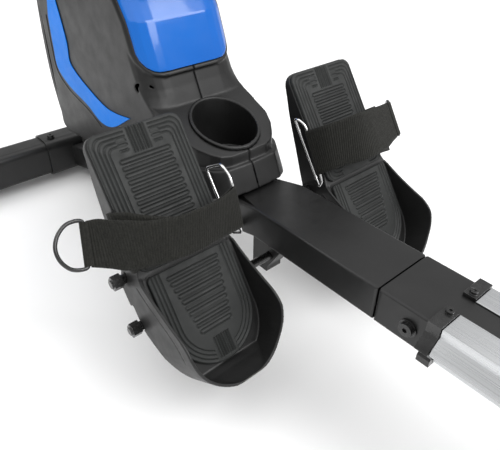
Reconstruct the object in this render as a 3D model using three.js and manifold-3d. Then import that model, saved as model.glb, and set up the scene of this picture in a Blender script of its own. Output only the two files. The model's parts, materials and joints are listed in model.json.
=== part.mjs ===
// A folding magnetic rowing machine, in millimetres, +Z up.
// Shapes are drawn from the seam on top of the main tube (x rearward, z up) and moved to the
// floor frame at the end. Nodes named right are on the -Y side, nodes named left on the +Y side.
import * as THREE from 'three';
import { mergeVertices } from 'three/addons/utils/BufferGeometryUtils.js';
import Module from 'manifold-3d';

const wasm = await Module();
wasm.setup();
const { Manifold, CrossSection } = wasm;

// ---- driving dimensions ----
const SEAM_X = -82;
const BEAM_TOP = 205;
const GAP = 0.3;
const TUBE_W = 90;
const TUBE_H = 46;
const WALL = 2;
const BEND_X = -200;
const SLOPE = 13.4 * Math.PI / 180;
const SLEEVE = { x: -805, z: -155, w: 66, h: 76, half: 96, round: 18 };
const WHEEL = { x: -856, z: -172, r: 20 };
const STAB = { w: 59, h: 69, half: 277.5, wall: 2.5, round: 15 };
const LOCK = { x: 43, z: -27 };
const FOLD = { x: 5, z: -5, pin: 1.6, knuckle: 2.8 };
const RAIL_END = 1032;
const PROFILE = { x0: 62.5, x1: RAIL_END };
const ROD = { r: 6, a: [-230, -40], b: [-200, -94], half: 240 };
const PEDAL = { y: 155.25, half: 62.5, length: 319, toe: [-289, 115], angle: 54.8 * Math.PI / 180 };
const WALL_SHELL = 3;
const CUP = { x: -313, z: 64, r: 47.5, inner: 45, lip: 49.5, tilt: 21 * Math.PI / 180, floor: 6 };
const FLY = { x: -590, z: 124, r: 104 };
const BRAKE = { x: -649, z: 226.2, from: 120, to: 205 };
const SPOOL = { x: -455, z: 62, r: 30 };
const HANDLE = { x: -415, z: 275, half: 230 };
const KNOB = { x: -565, z: 225 };
const SEAT = { x: 560, len: 250, width: 300 };
const ROLLER = 14.7;
const SEGMENTS = 32;

// ---- colours ----
const paint = (color, roughness = 0.5, metalness = 0.1) =>
  new THREE.MeshStandardMaterial({ color, roughness, metalness });
const BLACK_PAINT = paint(0x2a2a2a, 0.45);
const BLACK_PLASTIC = paint(0x222222, 0.6, 0);
const BLUE_GLOSS = paint(0x0078d7, 0.15, 0);
const BLUE_SATIN = paint(0x0078d7, 0.5, 0);
const RUBBER = paint(0x3c3f3f, 0.85, 0);
const PEDAL_PLASTIC = paint(0x3e4142, 0.65, 0);
const WEBBING = paint(0x23231f, 0.9, 0);
const ALUMINIUM = paint(0xd4d6d6, 0.3, 0.9);
const STEEL = paint(0x9a9c9e, 0.35, 0.9);
const DARK_STEEL = paint(0x1c1c1c, 0.35, 0.6);
const CHROME = paint(0xd8d8d8, 0.12, 1);
const CAST = paint(0x55585a, 0.6, 0.6);
const FOAM = paint(0x18181a, 0.9, 0);
const LENS = paint(0x2c3a40, 0.1, 0);

// ---- shape helpers, all returning closed solids ----
const box = (x0, x1, y0, y1, z0, z1) =>
  Manifold.cube([x1 - x0, y1 - y0, z1 - z0]).translate([x0, y0, z0]);
const plate = (points) => new CrossSection([points], 'NonZero');
const alongY = (section, y0, y1) =>
  section.extrude(y1 - y0).rotate([90, 0, 0]).translate([0, y1, 0]);
const alongZ = (section, z0, z1) => section.extrude(z1 - z0).translate([0, 0, z0]);
const alongX = (section, x0, x1) =>
  section.extrude(x1 - x0).rotate([90, 0, 90]).translate([x0, 0, 0]);
const rodY = (x, z, r, y0, y1, n = SEGMENTS) =>
  Manifold.cylinder(y1 - y0, r, r, n).rotate([90, 0, 0]).translate([x, y1, z]);
const rodZ = (x, y, r, z0, z1, n = SEGMENTS) =>
  Manifold.cylinder(z1 - z0, r, r, n).translate([x, y, z0]);
const rodX = (y, z, r, x0, x1, n = SEGMENTS) =>
  Manifold.cylinder(x1 - x0, r, r, n).rotate([0, 90, 0]).translate([x0, y, z]);
const hexY = (x, z, r, y0, y1) => rodY(x, z, r, y0, y1, 6);
const flipY = (solid) => solid.mirror([0, 1, 0]);
const sided = (solid, side) => (side < 0 ? solid : flipY(solid));
const rect = (w, h, r = 0) => {
  if (r === 0) return CrossSection.square([w, h], true);
  return CrossSection.square([w - 2 * r, h - 2 * r], true).offset(r, 'Round', 2, 16);
};
const joined = (list) => Manifold.union(list);

const curveOf = (points, closed) =>
  new THREE.CatmullRomCurve3(points.map((p) => new THREE.Vector3(...p)), closed);
const wireLoop = (points, r) =>
  fromGeometry(new THREE.TubeGeometry(curveOf(points, true), points.length * 4, r, 8, true));
function tubePath(points, r, n = 12) {
  const curve = curveOf(points, false);
  const round = new THREE.Shape();
  round.absarc(0, 0, r, 0, Math.PI * 2, false);
  const shape = new THREE.ExtrudeGeometry(round, {
    steps: points.length * 3, extrudePath: curve, curveSegments: n / 2,
  });
  return fromGeometry(shape);
}

function fromGeometry(geometry) {
  geometry.deleteAttribute('normal');
  geometry.deleteAttribute('uv');
  const merged = mergeVertices(geometry, 1e-4);
  return new Manifold(new wasm.Mesh({
    numProp: 3,
    vertProperties: new Float32Array(merged.attributes.position.array),
    triVerts: new Uint32Array(merged.index.array),
  }));
}

const group = new THREE.Group();
group.name = 'rowing_machine';

function add(name, solid, material) {
  const parts = solid.decompose();
  if (parts.length !== 1) throw new Error(name + ' is ' + parts.length + ' bodies');
  const mesh = solid.translate([SEAM_X, 0, BEAM_TOP]).getMesh();
  const geometry = new THREE.BufferGeometry();
  geometry.setAttribute('position', new THREE.BufferAttribute(new Float32Array(mesh.vertProperties), 3));
  geometry.setIndex(new THREE.BufferAttribute(new Uint32Array(mesh.triVerts), 1));
  geometry.computeVertexNormals();
  const node = new THREE.Mesh(geometry, material);
  node.name = name;
  group.add(node);
}

const slopeTop = (x) => (x + (-BEND_X)) * Math.tan(SLOPE);

// ---- main frame: front tube, sleeve, flywheel uprights, pedal bracket and rail tongue ----
function mainFrame() {
  const drop = TUBE_H / Math.cos(SLOPE);
  const bottomBend = BEND_X;
  const front = SLEEVE.x;
  const side = plate([
    [-1.8, 0], [BEND_X, 0], [front, slopeTop(front)], [front, slopeTop(front) - drop],
    [bottomBend, -TUBE_H], [-1.8, -TUBE_H],
  ]);
  const inner = plate([
    [5, -WALL], [BEND_X, -WALL], [front + 40, slopeTop(front + 40) - WALL],
    [front + 40, slopeTop(front + 40) - drop + WALL], [bottomBend, -TUBE_H + WALL], [5, -TUBE_H + WALL],
  ]);
  const outerTube = alongY(side, -TUBE_W / 2, TUBE_W / 2);
  const bore = alongY(inner, -TUBE_W / 2 + WALL, TUBE_W / 2 - WALL);
  const sleeve = alongY(rect(SLEEVE.w, SLEEVE.h, SLEEVE.round), -SLEEVE.half, SLEEVE.half)
    .translate([SLEEVE.x, 0, SLEEVE.z]);
  const sleeveBore = alongY(rect(STAB.w + 2 * GAP, STAB.h + 2 * GAP, STAB.round + GAP),
    -SLEEVE.half - 1, SLEEVE.half + 1).translate([SLEEVE.x, 0, SLEEVE.z]);
  const tongue = box(-60, 60, -36, 36, -40, -11);
  const tongueBore = box(-70, 56, -32, 32, -36, -15);
  const knuckles = [-26, 26].map((y) => joined([
    rodY(FOLD.x, FOLD.z, FOLD.knuckle, y - 6, y + 6, 20),
    box(FOLD.x - 2, FOLD.x + 2.5, y - 6, y + 6, -12, FOLD.z),
  ]));
  const plug = box(-40, -4, -43.5, 43.5, -44.5, -1.5).subtract(box(-50, 0, -32, 32, -36, -15));
  const bracket = joined([
    box(-234, -204, -14, 14, -126, -44),
    alongY(plate([[-206, -70], [-206, -122], [-158, -45], [-158, -40], [-206, -40]]), -14, 14),
  ]).subtract(box(-231, -207, -11, 11, -130, -57));
  const upright = alongY(plate([
    [-640, slopeTop(-640) - 8], [-664, 205], [-659, 240], [-622, 262], [-568, 262], [-545, 120], [-515, 70],
    [-470, 100], [-440, 100], [-420, 62], [-435, slopeTop(-435) - 8],
  ]), -44.5, -40.5);
  const post = joined([
    box(-622, -568, -44.5, 44.5, 252, 262), box(-616, -584, -20, 20, 258, 337),
  ]).subtract(box(-612, -588, -16, 16, 266, 340));
  let solid = joined([
    outerTube.subtract(bore), sleeve, plug, tongue.subtract(tongueBore), ...knuckles,
    bracket, upright, flipY(upright), post,
  ]);
  solid = solid.subtract(sleeveBore);
  solid = solid.subtract(rodY(...ROD.a, ROD.r + GAP, -60, 60));
  solid = solid.subtract(rodY(...ROD.b, ROD.r + GAP, -60, 60));
  solid = solid.subtract(rodY(FOLD.x, FOLD.z, FOLD.pin + GAP, -45, 45, 20));
  solid = solid.subtract(rodY(FLY.x, FLY.z, 5.3, -60, 60));
  solid = solid.add(rodY(SPOOL.x, SPOOL.z, 5, -47, 47, 24));
  solid = solid.add(rodY(BRAKE.x, BRAKE.z, 4, -42, 42, 20));
  [-1, 1].forEach((s) => {
    solid = solid.subtract(rodZ(SLEEVE.x + 10, s * 78, 4.3, SLEEVE.z + 20, SLEEVE.z + 50, 20));
  });
  return solid;
}
add('main_frame', mainFrame(), BLACK_PAINT);

// ---- front stabiliser halves, their bolts, feet and transport wheels ----
const sideName = (s) => (s < 0 ? 'right' : 'left');
function stabiliser(s) {
  const outer = rect(STAB.w, STAB.h, STAB.round);
  const inner = rect(STAB.w - 2 * STAB.wall, STAB.h - 2 * STAB.wall, STAB.round - STAB.wall);
  let tube = alongY(outer.subtract(inner), -STAB.half + 12, -1);
  tube = joined([tube, alongY(outer, -STAB.half + 8, -STAB.half + 14)]);
  tube = tube.translate([SLEEVE.x, 0, SLEEVE.z]);
  const ears = [-236, -206].map((y) => alongY(plate([
    [-832, -128], [-848, -160], [-866, -166], [-868, -178], [-856, -184], [-832, -182],
  ]), y, y + 4));
  const pin = rodY(WHEEL.x, WHEEL.z, 4, -238, -200, 20);
  const x = SLEEVE.x + 10;
  const top = SLEEVE.z + SLEEVE.h / 2;
  const bolt = joined([
    rodZ(x, -78, 8, top + GAP, top + 2), rodZ(x, -78, 6.5, top + 1.9, top + 7),
    rodZ(x, -78, 4, top - 12, top + 2, 20),
  ]).subtract(rodZ(x, -78, 2.6, top + 4, top + 8, 6));
  return sided(joined([tube, ...ears, pin, bolt]), s);
}
[-1, 1].forEach((s) => {
  add('front_stabilizer_' + sideName(s), stabiliser(s), BLACK_PAINT);
  const cap = alongY(rect(STAB.w + 6, STAB.h + 6, STAB.round + 3), -STAB.half, -STAB.half + 26)
    .translate([SLEEVE.x, 0, SLEEVE.z])
    .subtract(alongY(rect(STAB.w + 0.8, STAB.h + 0.8, STAB.round), -STAB.half + 7.6, -STAB.half + 40)
      .translate([SLEEVE.x, 0, SLEEVE.z]));
  const pad = box(SLEEVE.x - 24, SLEEVE.x + 24, -STAB.half, -STAB.half + 26, -205, -191);
  add('front_foot_' + sideName(s), sided(joined([cap, pad]).trimByPlane([0, 0, 1], -205), s), RUBBER);
  const wheel = rodY(WHEEL.x, WHEEL.z, WHEEL.r, -231.5, -206.5)
    .subtract(rodY(WHEEL.x, WHEEL.z, 4.3, -240, -200, 20));
  add('transport_wheel_' + sideName(s), sided(wheel, s), BLACK_PLASTIC);
});

// ---- pedal rods ----
function hexRod(at, half) {
  const [x, z] = at;
  const ends = [-1, 1].map((s) => sided(joined([
    rodY(x, z, ROD.r - 0.5, -half, -half + 12, 20),
    hexY(x, z, 9.5, -half + 2, -half + 14),
  ]), s));
  return joined([rodY(x, z, ROD.r, -half + 10, half - 10, 24), ...ends]);
}
add('pedal_axle', hexRod(ROD.a, ROD.half), DARK_STEEL);
add('pedal_stop_rod', hexRod(ROD.b, ROD.half), DARK_STEEL);

// ---- pedals, drawn flat (s along the sole from the toe, y across, n above it), then tipped ----
const tip = (solid) => solid.rotate([0, PEDAL.angle * 180 / Math.PI, 0])
  .translate([PEDAL.toe[0], 0, PEDAL.toe[1]]);
const local = ([x, z]) => {
  const dx = x - PEDAL.toe[0];
  const dz = z - PEDAL.toe[1];
  const c = Math.cos(PEDAL.angle);
  const n = Math.sin(PEDAL.angle);
  return [dx * c - dz * n, dx * n + dz * c];
};
function footOutline(half, start, end, heelHalf = half) {
  const points = [[start, -half], [start, half], [150, half], [168, heelHalf]];
  const r = heelHalf - 4;
  for (let i = 0; i <= 12; i += 1) {
    const a = Math.PI / 2 - i * Math.PI / 12;
    points.push([end - r + r * Math.cos(a), heelHalf * Math.sin(a)]);
  }
  points.push([168, -heelHalf], [150, -half]);
  return plate(points.reverse());
}
function pedalBase() {
  const skirt = plate([
    [0, 0], [0, -6], [48, -24], [103, -39], [142, -51], [164, -56], [196, -57], [222, -50],
    [244, -38], [262, -24], [280, -10], [292, -4], [312, 38], [295, 38], [278, 48], [257, 53],
    [240, 49], [225, 35], [168, 6], [163, 0],
  ]);
  const shell = alongZ(footOutline(PEDAL.half, 0, 313, 66.5), -60, 56).intersect(alongY(skirt, -80, 80));
  const pocket = alongZ(footOutline(58.5, 164, 308, 61.5), 0, 60)
    .intersect(alongY(plate([[164, 0], [289, 0], [307, 38], [307, 60], [164, 60]]), -80, 80));
  const under = alongZ(footOutline(58, 6, 306, 62), -80, -4).intersect(alongY(plate([
    [6, -4], [6, -80], [320, -80], [320, -16], [288, -16], [270, -4],
  ]), -80, 80));
  const a = local(ROD.a);
  const b = local(ROD.b);
  const hub = rodY(a[0], a[1], 10, -60, 60, 24);
  const ribs = [60, 110, 260].map((s) => box(s, s + 3, -60, 60, -22, -2));
  let solid = joined([shell.subtract(pocket).subtract(under), hub, ...ribs]);
  solid = solid.subtract(rodY(a[0], a[1], ROD.r + GAP, -80, 80, 24));
  const notch = joined([
    rodY(b[0], b[1], ROD.r + 0.6, -80, 80, 24),
    box(b[0] - 26, b[0] + 6.6, -80, 80, -90, b[1]),
  ]);
  return solid.subtract(notch);
}
function slottedPad(s0, s1, outline, first) {
  let pad = alongZ(outline, GAP, 5).intersect(box(s0, s1, -80, 80, 0, 5));
  for (let i = 0; i < 11; i += 1) {
    const s = first + i * 9.5;
    pad = pad.subtract(box(s, s + 3.4, -34, 34, 3.6, 6));
  }
  return pad;
}
// Each strap edge is a row of [s, y, n] points from the fold at the inner ring out to the free tail.
const STRAP = {
  thick: 1.7,
  gap: 1,
  right: {
    toe: [[108, -84, 45], [111, -100, 53], [114, -125, 60], [113.5, -148, 62], [112, -174, 58],
      [104, -204, 46], [96, -220, 37], [89.5, -233, 29], [83, -243, 20], [80.5, -253, 12]],
    heel: [[158, -84, 27], [158.5, -105, 30], [158, -130, 38], [158, -158, 46], [155, -192, 46],
      [152.5, -212, 36], [149, -226, 29], [145.5, -237, 22], [137, -250, 15], [128, -266, 10]],
    corners: [[75, -2], [78, 33], [87, 42], [165, 16], [163, -2]],
    reach: [-7, -31, 5],
    spread: 1.15,
  },
  left: {
    toe: [[81, -84, 20], [81.5, -99, 42], [82, -116, 53], [82, -138, 60], [83, -158, 58],
      [83.5, -180, 52], [84, -200, 46], [84, -214, 41], [84, -224, 37], [84, -233, 34]],
    heel: [[143, -84, 14], [142, -97, 26], [144, -112, 34], [147, -134, 46], [147, -158, 50],
      [146.5, -182, 45], [144, -200, 40], [141, -214, 36], [139, -226, 33], [137, -236, 30]],
    corners: [[60, -2], [62, 11], [68, 16], [160, 12], [164, -2]],
    reach: [-8, -16, -18],
    spread: 1.02,
  },
};
const WIRE = { chrome: 1.9, black: 2.2 };
const inner = (p) => [p[0], p[1] + PEDAL.y, p[2]];
// a closed band between two edges, thick along its own normal
function band(first, second, thick) {
  const count = first.length;
  const positions = [];
  for (let i = 0; i < count; i += 1) {
    const before = Math.max(i - 1, 0);
    const after = Math.min(i + 1, count - 1);
    const along = new THREE.Vector3(...first[after]).sub(new THREE.Vector3(...first[before]))
      .add(new THREE.Vector3(...second[after]).sub(new THREE.Vector3(...second[before])));
    const across = new THREE.Vector3(...second[i]).sub(new THREE.Vector3(...first[i]));
    const up = across.cross(along).normalize().multiplyScalar(thick / 2);
    [[first, 1], [second, 1], [second, -1], [first, -1]].forEach(([edge, sign]) => {
      positions.push(edge[i][0] + sign * up.x, edge[i][1] + sign * up.y, edge[i][2] + sign * up.z);
    });
  }
  const index = [0, 2, 1, 0, 3, 2];
  for (let i = 0; i < count - 1; i += 1) {
    for (let k = 0; k < 4; k += 1) {
      const a = 4 * i + k;
      const b = 4 * i + (k + 1) % 4;
      index.push(a, b, a + 4, b, b + 4, a + 4);
    }
  }
  const last = 4 * (count - 1);
  index.push(last, last + 1, last + 2, last, last + 2, last + 3);
  return new Manifold(new wasm.Mesh({
    numProp: 3, vertProperties: new Float32Array(positions), triVerts: new Uint32Array(index),
  }));
}
const lerp = (a, b, t) => a.map((v, i) => v + (b[i] - v) * t);
// direction along an edge at point i and the normal that points into the arch
function edgeFrame(edge, i) {
  const a = edge[Math.max(i - 1, 0)];
  const b = edge[Math.min(i + 1, edge.length - 1)];
  const length = Math.hypot(b[1] - a[1], b[2] - a[2]);
  const along = [0, (b[1] - a[1]) / length, (b[2] - a[2]) / length];
  return { along, into: [0, -along[2], along[1]] };
}
const step = (p, direction, distance) => p.map((v, i) => v + direction[i] * distance);
const FOLD_R = WIRE.chrome + STRAP.gap / 2 + STRAP.thick / 2;
const foldCentre = (edge) => step(edge[0], edgeFrame(edge, 0).into, FOLD_R);
// the under layer rises from the pedal's outer edge, passes below the top layer and folds at the ring
function strapEdge(edge, anchor) {
  const { along, into } = edgeFrame(edge, 0);
  const centre = foldCentre(edge);
  const turn = [36, 72, 108, 144].map((degrees) => {
    const a = degrees * Math.PI / 180;
    return step(step(centre, into, -FOLD_R * Math.cos(a)), along, -FOLD_R * Math.sin(a));
  });
  const below = edge.slice(0, 7).map((p, i) => {
    const q = step(p, edgeFrame(edge, i).into, 2 * FOLD_R + Math.max(i - 4, 0) * 1.5);
    return [q[0] + (anchor - q[0]) * Math.max(i - 4, 0) * 0.3, q[1], q[2]];
  });
  const outer = -PEDAL.y - PEDAL.half;
  const drop = [[9, 12], [8, 2], [4, -5], [1.6, -14]];
  const tail = drop.map(([y, n]) => [anchor, outer - y, n]);
  return [...edge.slice().reverse(), ...turn, ...below, ...tail].map(inner);
}
function footStrap(side) {
  const shape = STRAP[side];
  return band(strapEdge(shape.toe, 82), strapEdge(shape.heel, 154), STRAP.thick);
}
function tailRing(side) {
  const shape = STRAP[side];
  const out = WIRE.black + STRAP.gap + 0.4;
  const end = (edge) => {
    const a = inner(edge[edge.length - 2]);
    const b = inner(edge[edge.length - 1]);
    const step = new THREE.Vector3(...b).sub(new THREE.Vector3(...a)).normalize().multiplyScalar(out);
    return [b[0] + step.x, b[1] + step.y, b[2] + step.z];
  };
  const p = end(shape.toe);
  const q = end(shape.heel);
  const middle = lerp(p, q, 0.5);
  const a = new THREE.Vector3(...q).sub(new THREE.Vector3(...p)).multiplyScalar(0.5);
  const loop = [[p[0], p[1], p[2]], lerp(p, q, 0.25), middle, lerp(p, q, 0.75), [q[0], q[1], q[2]]];
  [30, 60, 90, 120, 150].forEach((degrees) => {
    const t = degrees * Math.PI / 180;
    const across = shape.spread * Math.cos(t);
    loop.push(middle.map((v, i) => v + a.getComponent(i) * across + shape.reach[i] * Math.sin(t)));
  });
  return { solid: wireLoop(loop, WIRE.black), p, q };
}
[-1, 1].forEach((s) => {
  const place = (solid) => sided(tip(solid).translate([0, -PEDAL.y, 0]), s);
  const side = sideName(s);
  const name = (word) => word + '_' + side;
  add(name('pedal_base'), place(pedalBase()), PEDAL_PLASTIC);
  add(name('toe_pad'), place(slottedPad(4, 160, footOutline(57, 4, 300), 30)), RUBBER);
  add(name('heel_pad'), place(slottedPad(168, 315, footOutline(56.5, 166, 288, 58), 186)), RUBBER);
  add(name('foot_strap'), place(footStrap(side)), WEBBING);
  add(name('pull_ring'), place(tailRing(side).solid), DARK_STEEL);
  const { corners, toe, heel } = STRAP[side];
  const bar = [-0.12, -0.04, 0.15, 0.5, 0.85, 1.04, 1.12]
    .map((t) => inner(lerp(foldCentre(toe), foldCentre(heel), t)));
  const legs = corners.map(([along, up]) => [along, PEDAL.y - 83, up]);
  const loop = [...legs.slice(0, 3), ...bar, ...legs.slice(3)];
  add(name('strap_ring'), place(wireLoop(loop, WIRE.chrome)), CHROME);
});

// ---- housing shells, cup holder, blue trim ----
const mirrored = (points) => [
  ...points, ...points.slice().reverse().filter((p) => p[1] !== 0).map(([x, y]) => [x, -y]),
];
// levels are [height, outline]; each neighbouring pair is joined by its convex hull
function loft(levels, inset) {
  const rings = levels.map(([z, outline]) => {
    const section = plate(outline.slice().reverse()).offset(-inset, 'Miter', 2);
    return section.toPolygons()[0].map(([x, y]) => [x, y, z]);
  });
  return joined(rings.slice(1).map((ring, i) => Manifold.hull([...rings[i], ...ring])));
}
// outline of the tower at the height where its rear face is at x; round is how full its corners are
const towerOutline = (x, round) => mirrored([
  [x, 0], [x, 42], [x - 2 * round, 53], [x - 6 * round, 63], [x - 12 * round, 71], [x - 19 * round, 77],
  [x - 27 * round, 80], [-700, 80], [-718, 66], [-726, 40],
]);
const TOWER = [
  [-62, -340, 0.2], [79, -362, 0.25], [88, -366.5, 0.5], [97, -371, 0.75], [106, -375.5, 0.9],
  [123, -383, 1], [190, -410, 1], [262, -462, 1], [306, -520, 1], [332, -560, 1],
];
const TOWER_SIDE = [
  [-340, -19], [-340, 60], [-362, 79], [-366.5, 88], [-371, 97], [-375.5, 106], [-383, 123], [-410, 190],
  [-462, 262], [-520, 306], [-585, 328], [-650, 322], [-690, 270], [-712, 170], [-720, 68], [-718, 28],
  [-708, -31], [-698, -51], [-682, -58], [-629, -52],
];
const tower = (inset) => loft(TOWER.map(([z, x, round]) => [z, towerOutline(x, round)]), inset)
  .intersect(alongY(plate(TOWER_SIDE.slice().reverse()).offset(-inset, 'Miter', 2), -90, 90));
const DECK = mirrored([
  [-260, 0], [-261, 30], [-266, 45], [-275, 55], [-291, 67], [-310, 75], [-365, 76], [-405, 80], [-470, 80],
]);
const beltOutline = (x, grow) => mirrored([
  [x, 0], [x - 3, 43], [x - 14, 58 + grow * 0.6], [x - 31, 70 + grow], [x - 54, 79 + grow],
  [-365, 80.5 + grow], [-470, 80.5 + grow],
]);
const deckHeight = (x) => CUP.z - (x - CUP.x) * Math.tan(CUP.tilt);
const belowDeck = (lift) => alongY(plate([
  [-480, -120], [-220, -120], [-220, deckHeight(-220) + lift], [-480, deckHeight(-480) + lift],
]), -95, 95);
function housingSolid(inset) {
  const deck = loft([[-40, DECK], [140, DECK]], inset).intersect(belowDeck(-inset));
  const belt = loft([[-12, beltOutline(-236, 2)], [28.5, beltOutline(-254, 0)]], inset)
    .trimByPlane([0, 0, -1], -28.5 + inset);
  const under = plate([[-629, -52], [-629, -200], [-200, -200], [-200, -1.5]]);
  const below = alongY(under.offset(inset, 'Miter', 2), -95, 95);
  const belly = alongY(plate([
    [-264, -3], [-700, -3], [-700, slopeTop(-700) - 16], [-300, slopeTop(-300) - 20], [-264, -20],
  ]).offset(-inset, 'Miter', 2), -51 + inset, 51 - inset);
  return joined([tower(inset), joined([deck, belt]).subtract(below), belly]);
}
// the window for the blue cover on the sloping rear face, seen from behind
const coverWindow = (grow) => alongX(rect(150 + 2 * grow, 264 + 2 * grow, 24 + grow), -600, -360)
  .translate([0, 0, 128 + 132]).intersect(box(-566 - grow, -360, -90, 90, 100, 400));
function housingWhole() {
  const beam = alongY(plate([
    [-150, GAP], [BEND_X, GAP], [-900, slopeTop(-900) + GAP], [-900, -400], [-150, -400],
  ]), -TUBE_W / 2 - GAP, TUBE_W / 2 + GAP);
  const well = rodZ(CUP.x, 0, 53, -60, 110, 48).trimByPlane([0, 0, 1], -20).intersect(belowDeck(0));
  const hollow = housingSolid(WALL_SHELL).subtract(well);
  const bezel = tower(-3.4).intersect(coverWindow(5)).subtract(coverWindow(GAP));
  const oval = Manifold.cylinder(34, 1, 1, 28, true).scale([8, 15, 1]).rotate([0, 90, 0]).rotate([0, 0, -52])
    .translate([-406, -61, 107]);
  let shell = joined([housingSolid(0), bezel]).subtract(hollow).subtract(beam).subtract(oval);
  shell = shell.subtract(rodZ(CUP.x, 0, CUP.r + GAP, 2, 200, 48));
  shell = shell.subtract(box(-500, -430, -14, 14, 257, 275));
  shell = shell.subtract(box(-618, -582, -22, 22, 300, 340));
  shell = shell.subtract(rodY(KNOB.x, KNOB.z, 7, -100, -60));
  return shell;
}
const shell = housingWhole();
const half = (s) => shell.trimByPlane([0, s, 0], 0.15);
add('housing_left', half(1), BLACK_PLASTIC);
add('housing_right', half(-1), BLACK_PLASTIC);

function topCover() {
  return tower(-3.4).subtract(tower(-GAP)).intersect(coverWindow(0))
    .subtract(box(-500, -430, -15, 15, 256, 276));
}
add('top_cover', topCover(), BLUE_GLOSS);

[-1, 1].forEach((s) => {
  const stripe = alongY(plate([
    [-668, 150], [-671, 80], [-673, 61], [-640, 46], [-571, 28], [-533, 12], [-495, 17], [-434, 52],
    [-488, 44], [-517, 46], [-603, 78], [-619, 82], [-613, 95], [-613, 120], [-628, 185], [-640, 235],
  ]), -81.8, -80 - GAP);
  add('accent_stripe_' + sideName(s), sided(stripe, s), BLUE_SATIN);
});

function cupHolder() {
  const tube = rodZ(CUP.x, 0, CUP.r, CUP.floor, 140, 48).intersect(belowDeck(4.3));
  const lip = rodZ(CUP.x, 0, CUP.lip, 20, 140, 48).intersect(belowDeck(4.3)).subtract(belowDeck(GAP));
  const drain = rodZ(CUP.x, 0, 4, 0, 20, 20);
  return joined([tube, lip])
    .subtract(rodZ(CUP.x, 0, CUP.inner, CUP.floor + 2.5, 200, 48)).subtract(drain);
}
add('cup_holder', cupHolder(), BLACK_PLASTIC);

// ---- drive inside the housing ----
function flywheel() {
  const disc = rodY(FLY.x, FLY.z, FLY.r, -13, 13, 48);
  const dish = joined([
    rodY(FLY.x, FLY.z, FLY.r - 18, 6, 14, 48), rodY(FLY.x, FLY.z, FLY.r - 18, -14, -6, 48),
  ]);
  const hub = joined([rodY(FLY.x, FLY.z, 22, -18, 16), rodY(FLY.x, FLY.z, 26, 16, 34)]);
  const groove = rodY(FLY.x, FLY.z, 40, 19, 31).subtract(rodY(FLY.x, FLY.z, 24, 18, 32));
  return joined([disc.subtract(dish), hub]).subtract(groove)
    .subtract(rodY(FLY.x, FLY.z, 5.3, -40, 40, 24));
}
add('flywheel', flywheel(), CAST);
add('flywheel_axle', joined([
  rodY(FLY.x, FLY.z, 5, -52, 52, 24), hexY(FLY.x, FLY.z, 9, -52, -44.9), hexY(FLY.x, FLY.z, 9, 44.9, 52),
]), STEEL);
function spool() {
  const drum = rodY(SPOOL.x, SPOOL.z, SPOOL.r - 8, -15, 15);
  const rims = joined([
    rodY(SPOOL.x, SPOOL.z, SPOOL.r, -15, -12), rodY(SPOOL.x, SPOOL.z, SPOOL.r, 12, 15),
    rodY(SPOOL.x, SPOOL.z, 26, 15, 19),
    rodY(SPOOL.x, SPOOL.z, 24, 19, 31),
    rodY(SPOOL.x, SPOOL.z, 26, 31, 34),
  ]);
  return joined([drum, rims]).subtract(rodY(SPOOL.x, SPOOL.z, 5.3, -40, 40, 24));
}
add('strap_spool', spool(), BLACK_PLASTIC);
function driveBelt() {
  const loop = (grow) => {
    const circle = (x, z, r) => CrossSection.circle(r, 32).translate([x, z]);
    return CrossSection.hull([circle(FLY.x, FLY.z, 24.4 + grow), circle(SPOOL.x, SPOOL.z, 24.4 + grow)]);
  };
  return alongY(loop(2).subtract(loop(0)), 20, 30);
}
add('drive_belt', driveBelt(), RUBBER);
function brakeArm() {
  const arc = (r) => {
    const points = [];
    for (let i = 0; i <= 12; i += 1) {
      const a = (BRAKE.from + (BRAKE.to - BRAKE.from) * i / 12) * Math.PI / 180;
      points.push([FLY.x + r * Math.cos(a), FLY.z + r * Math.sin(a)]);
    }
    return points;
  };
  const shoe = alongY(plate([...arc(107), ...arc(112.5).reverse()].reverse()), -14, 14);
  return joined([shoe, rodY(BRAKE.x, BRAKE.z, 9, -14, 14, 24)])
    .subtract(rodY(BRAKE.x, BRAKE.z, 4.3, -20, 20, 20));
}
add('brake_arm', brakeArm(), STEEL);

// ---- tension knob on the housing's right face ----
add('tension_knob', joined([
  rodY(KNOB.x, KNOB.z, 24, -104, -80.4, 32), rodY(KNOB.x, KNOB.z, 6.4, -82, -62, 24),
  box(KNOB.x - 2.5, KNOB.x + 2.5, -106, -103, KNOB.z, KNOB.z + 22),
]), BLACK_PLASTIC);

// ---- console post, console and its buttons ----
const CONSOLE = { x: -567, z: 548, w: 190, h: 112, d: 30, lean: 24 };
const lean = (solid) => solid.rotate([0, -CONSOLE.lean, 0]).translate([CONSOLE.x, 0, CONSOLE.z]);
add('console_post', joined([
  alongY(plate([
    [-611.5, 267], [-588.5, 267], [-588.5, 335], [-574, 512], [-596, 512], [-611.5, 335],
  ]), -15.5, 15.5),
  rodY(-585, 512, 11, -15.5, 15.5, 24),
  rodY(-585, 512, 4, -30, 30, 20), rodY(-585, 512, 7, -30, -24.4, 20), rodY(-585, 512, 7, 24.4, 30, 20),
]), BLACK_PAINT);
function consoleCase() {
  const body = alongX(rect(CONSOLE.w, CONSOLE.h, 14), -CONSOLE.d / 2, CONSOLE.d / 2);
  const screen = box(12, 20, -72, 72, -18, 44);
  const wells = [-50, 0, 50].map((y) => rodX(y, -38, 8.6, 4, 20, 24));
  const ears = [-1, 1].map((s) => sided(alongY(plate([
    [-14, -6], [-14, -44], [-30, -38], [-40, -32], [-40, -19], [-30, -15],
  ].reverse()), -24, -16.2), s));
  let solid = joined([body, ...ears]).subtract(screen);
  wells.forEach((well) => { solid = solid.subtract(well); });
  return solid;
}
const consolePin = [-585 - CONSOLE.x, 512 - CONSOLE.z];
const undo = (() => {
  const a = -CONSOLE.lean * Math.PI / 180;
  return [consolePin[0] * Math.cos(a) - consolePin[1] * Math.sin(a),
    consolePin[0] * Math.sin(a) + consolePin[1] * Math.cos(a)];
})();
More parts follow.
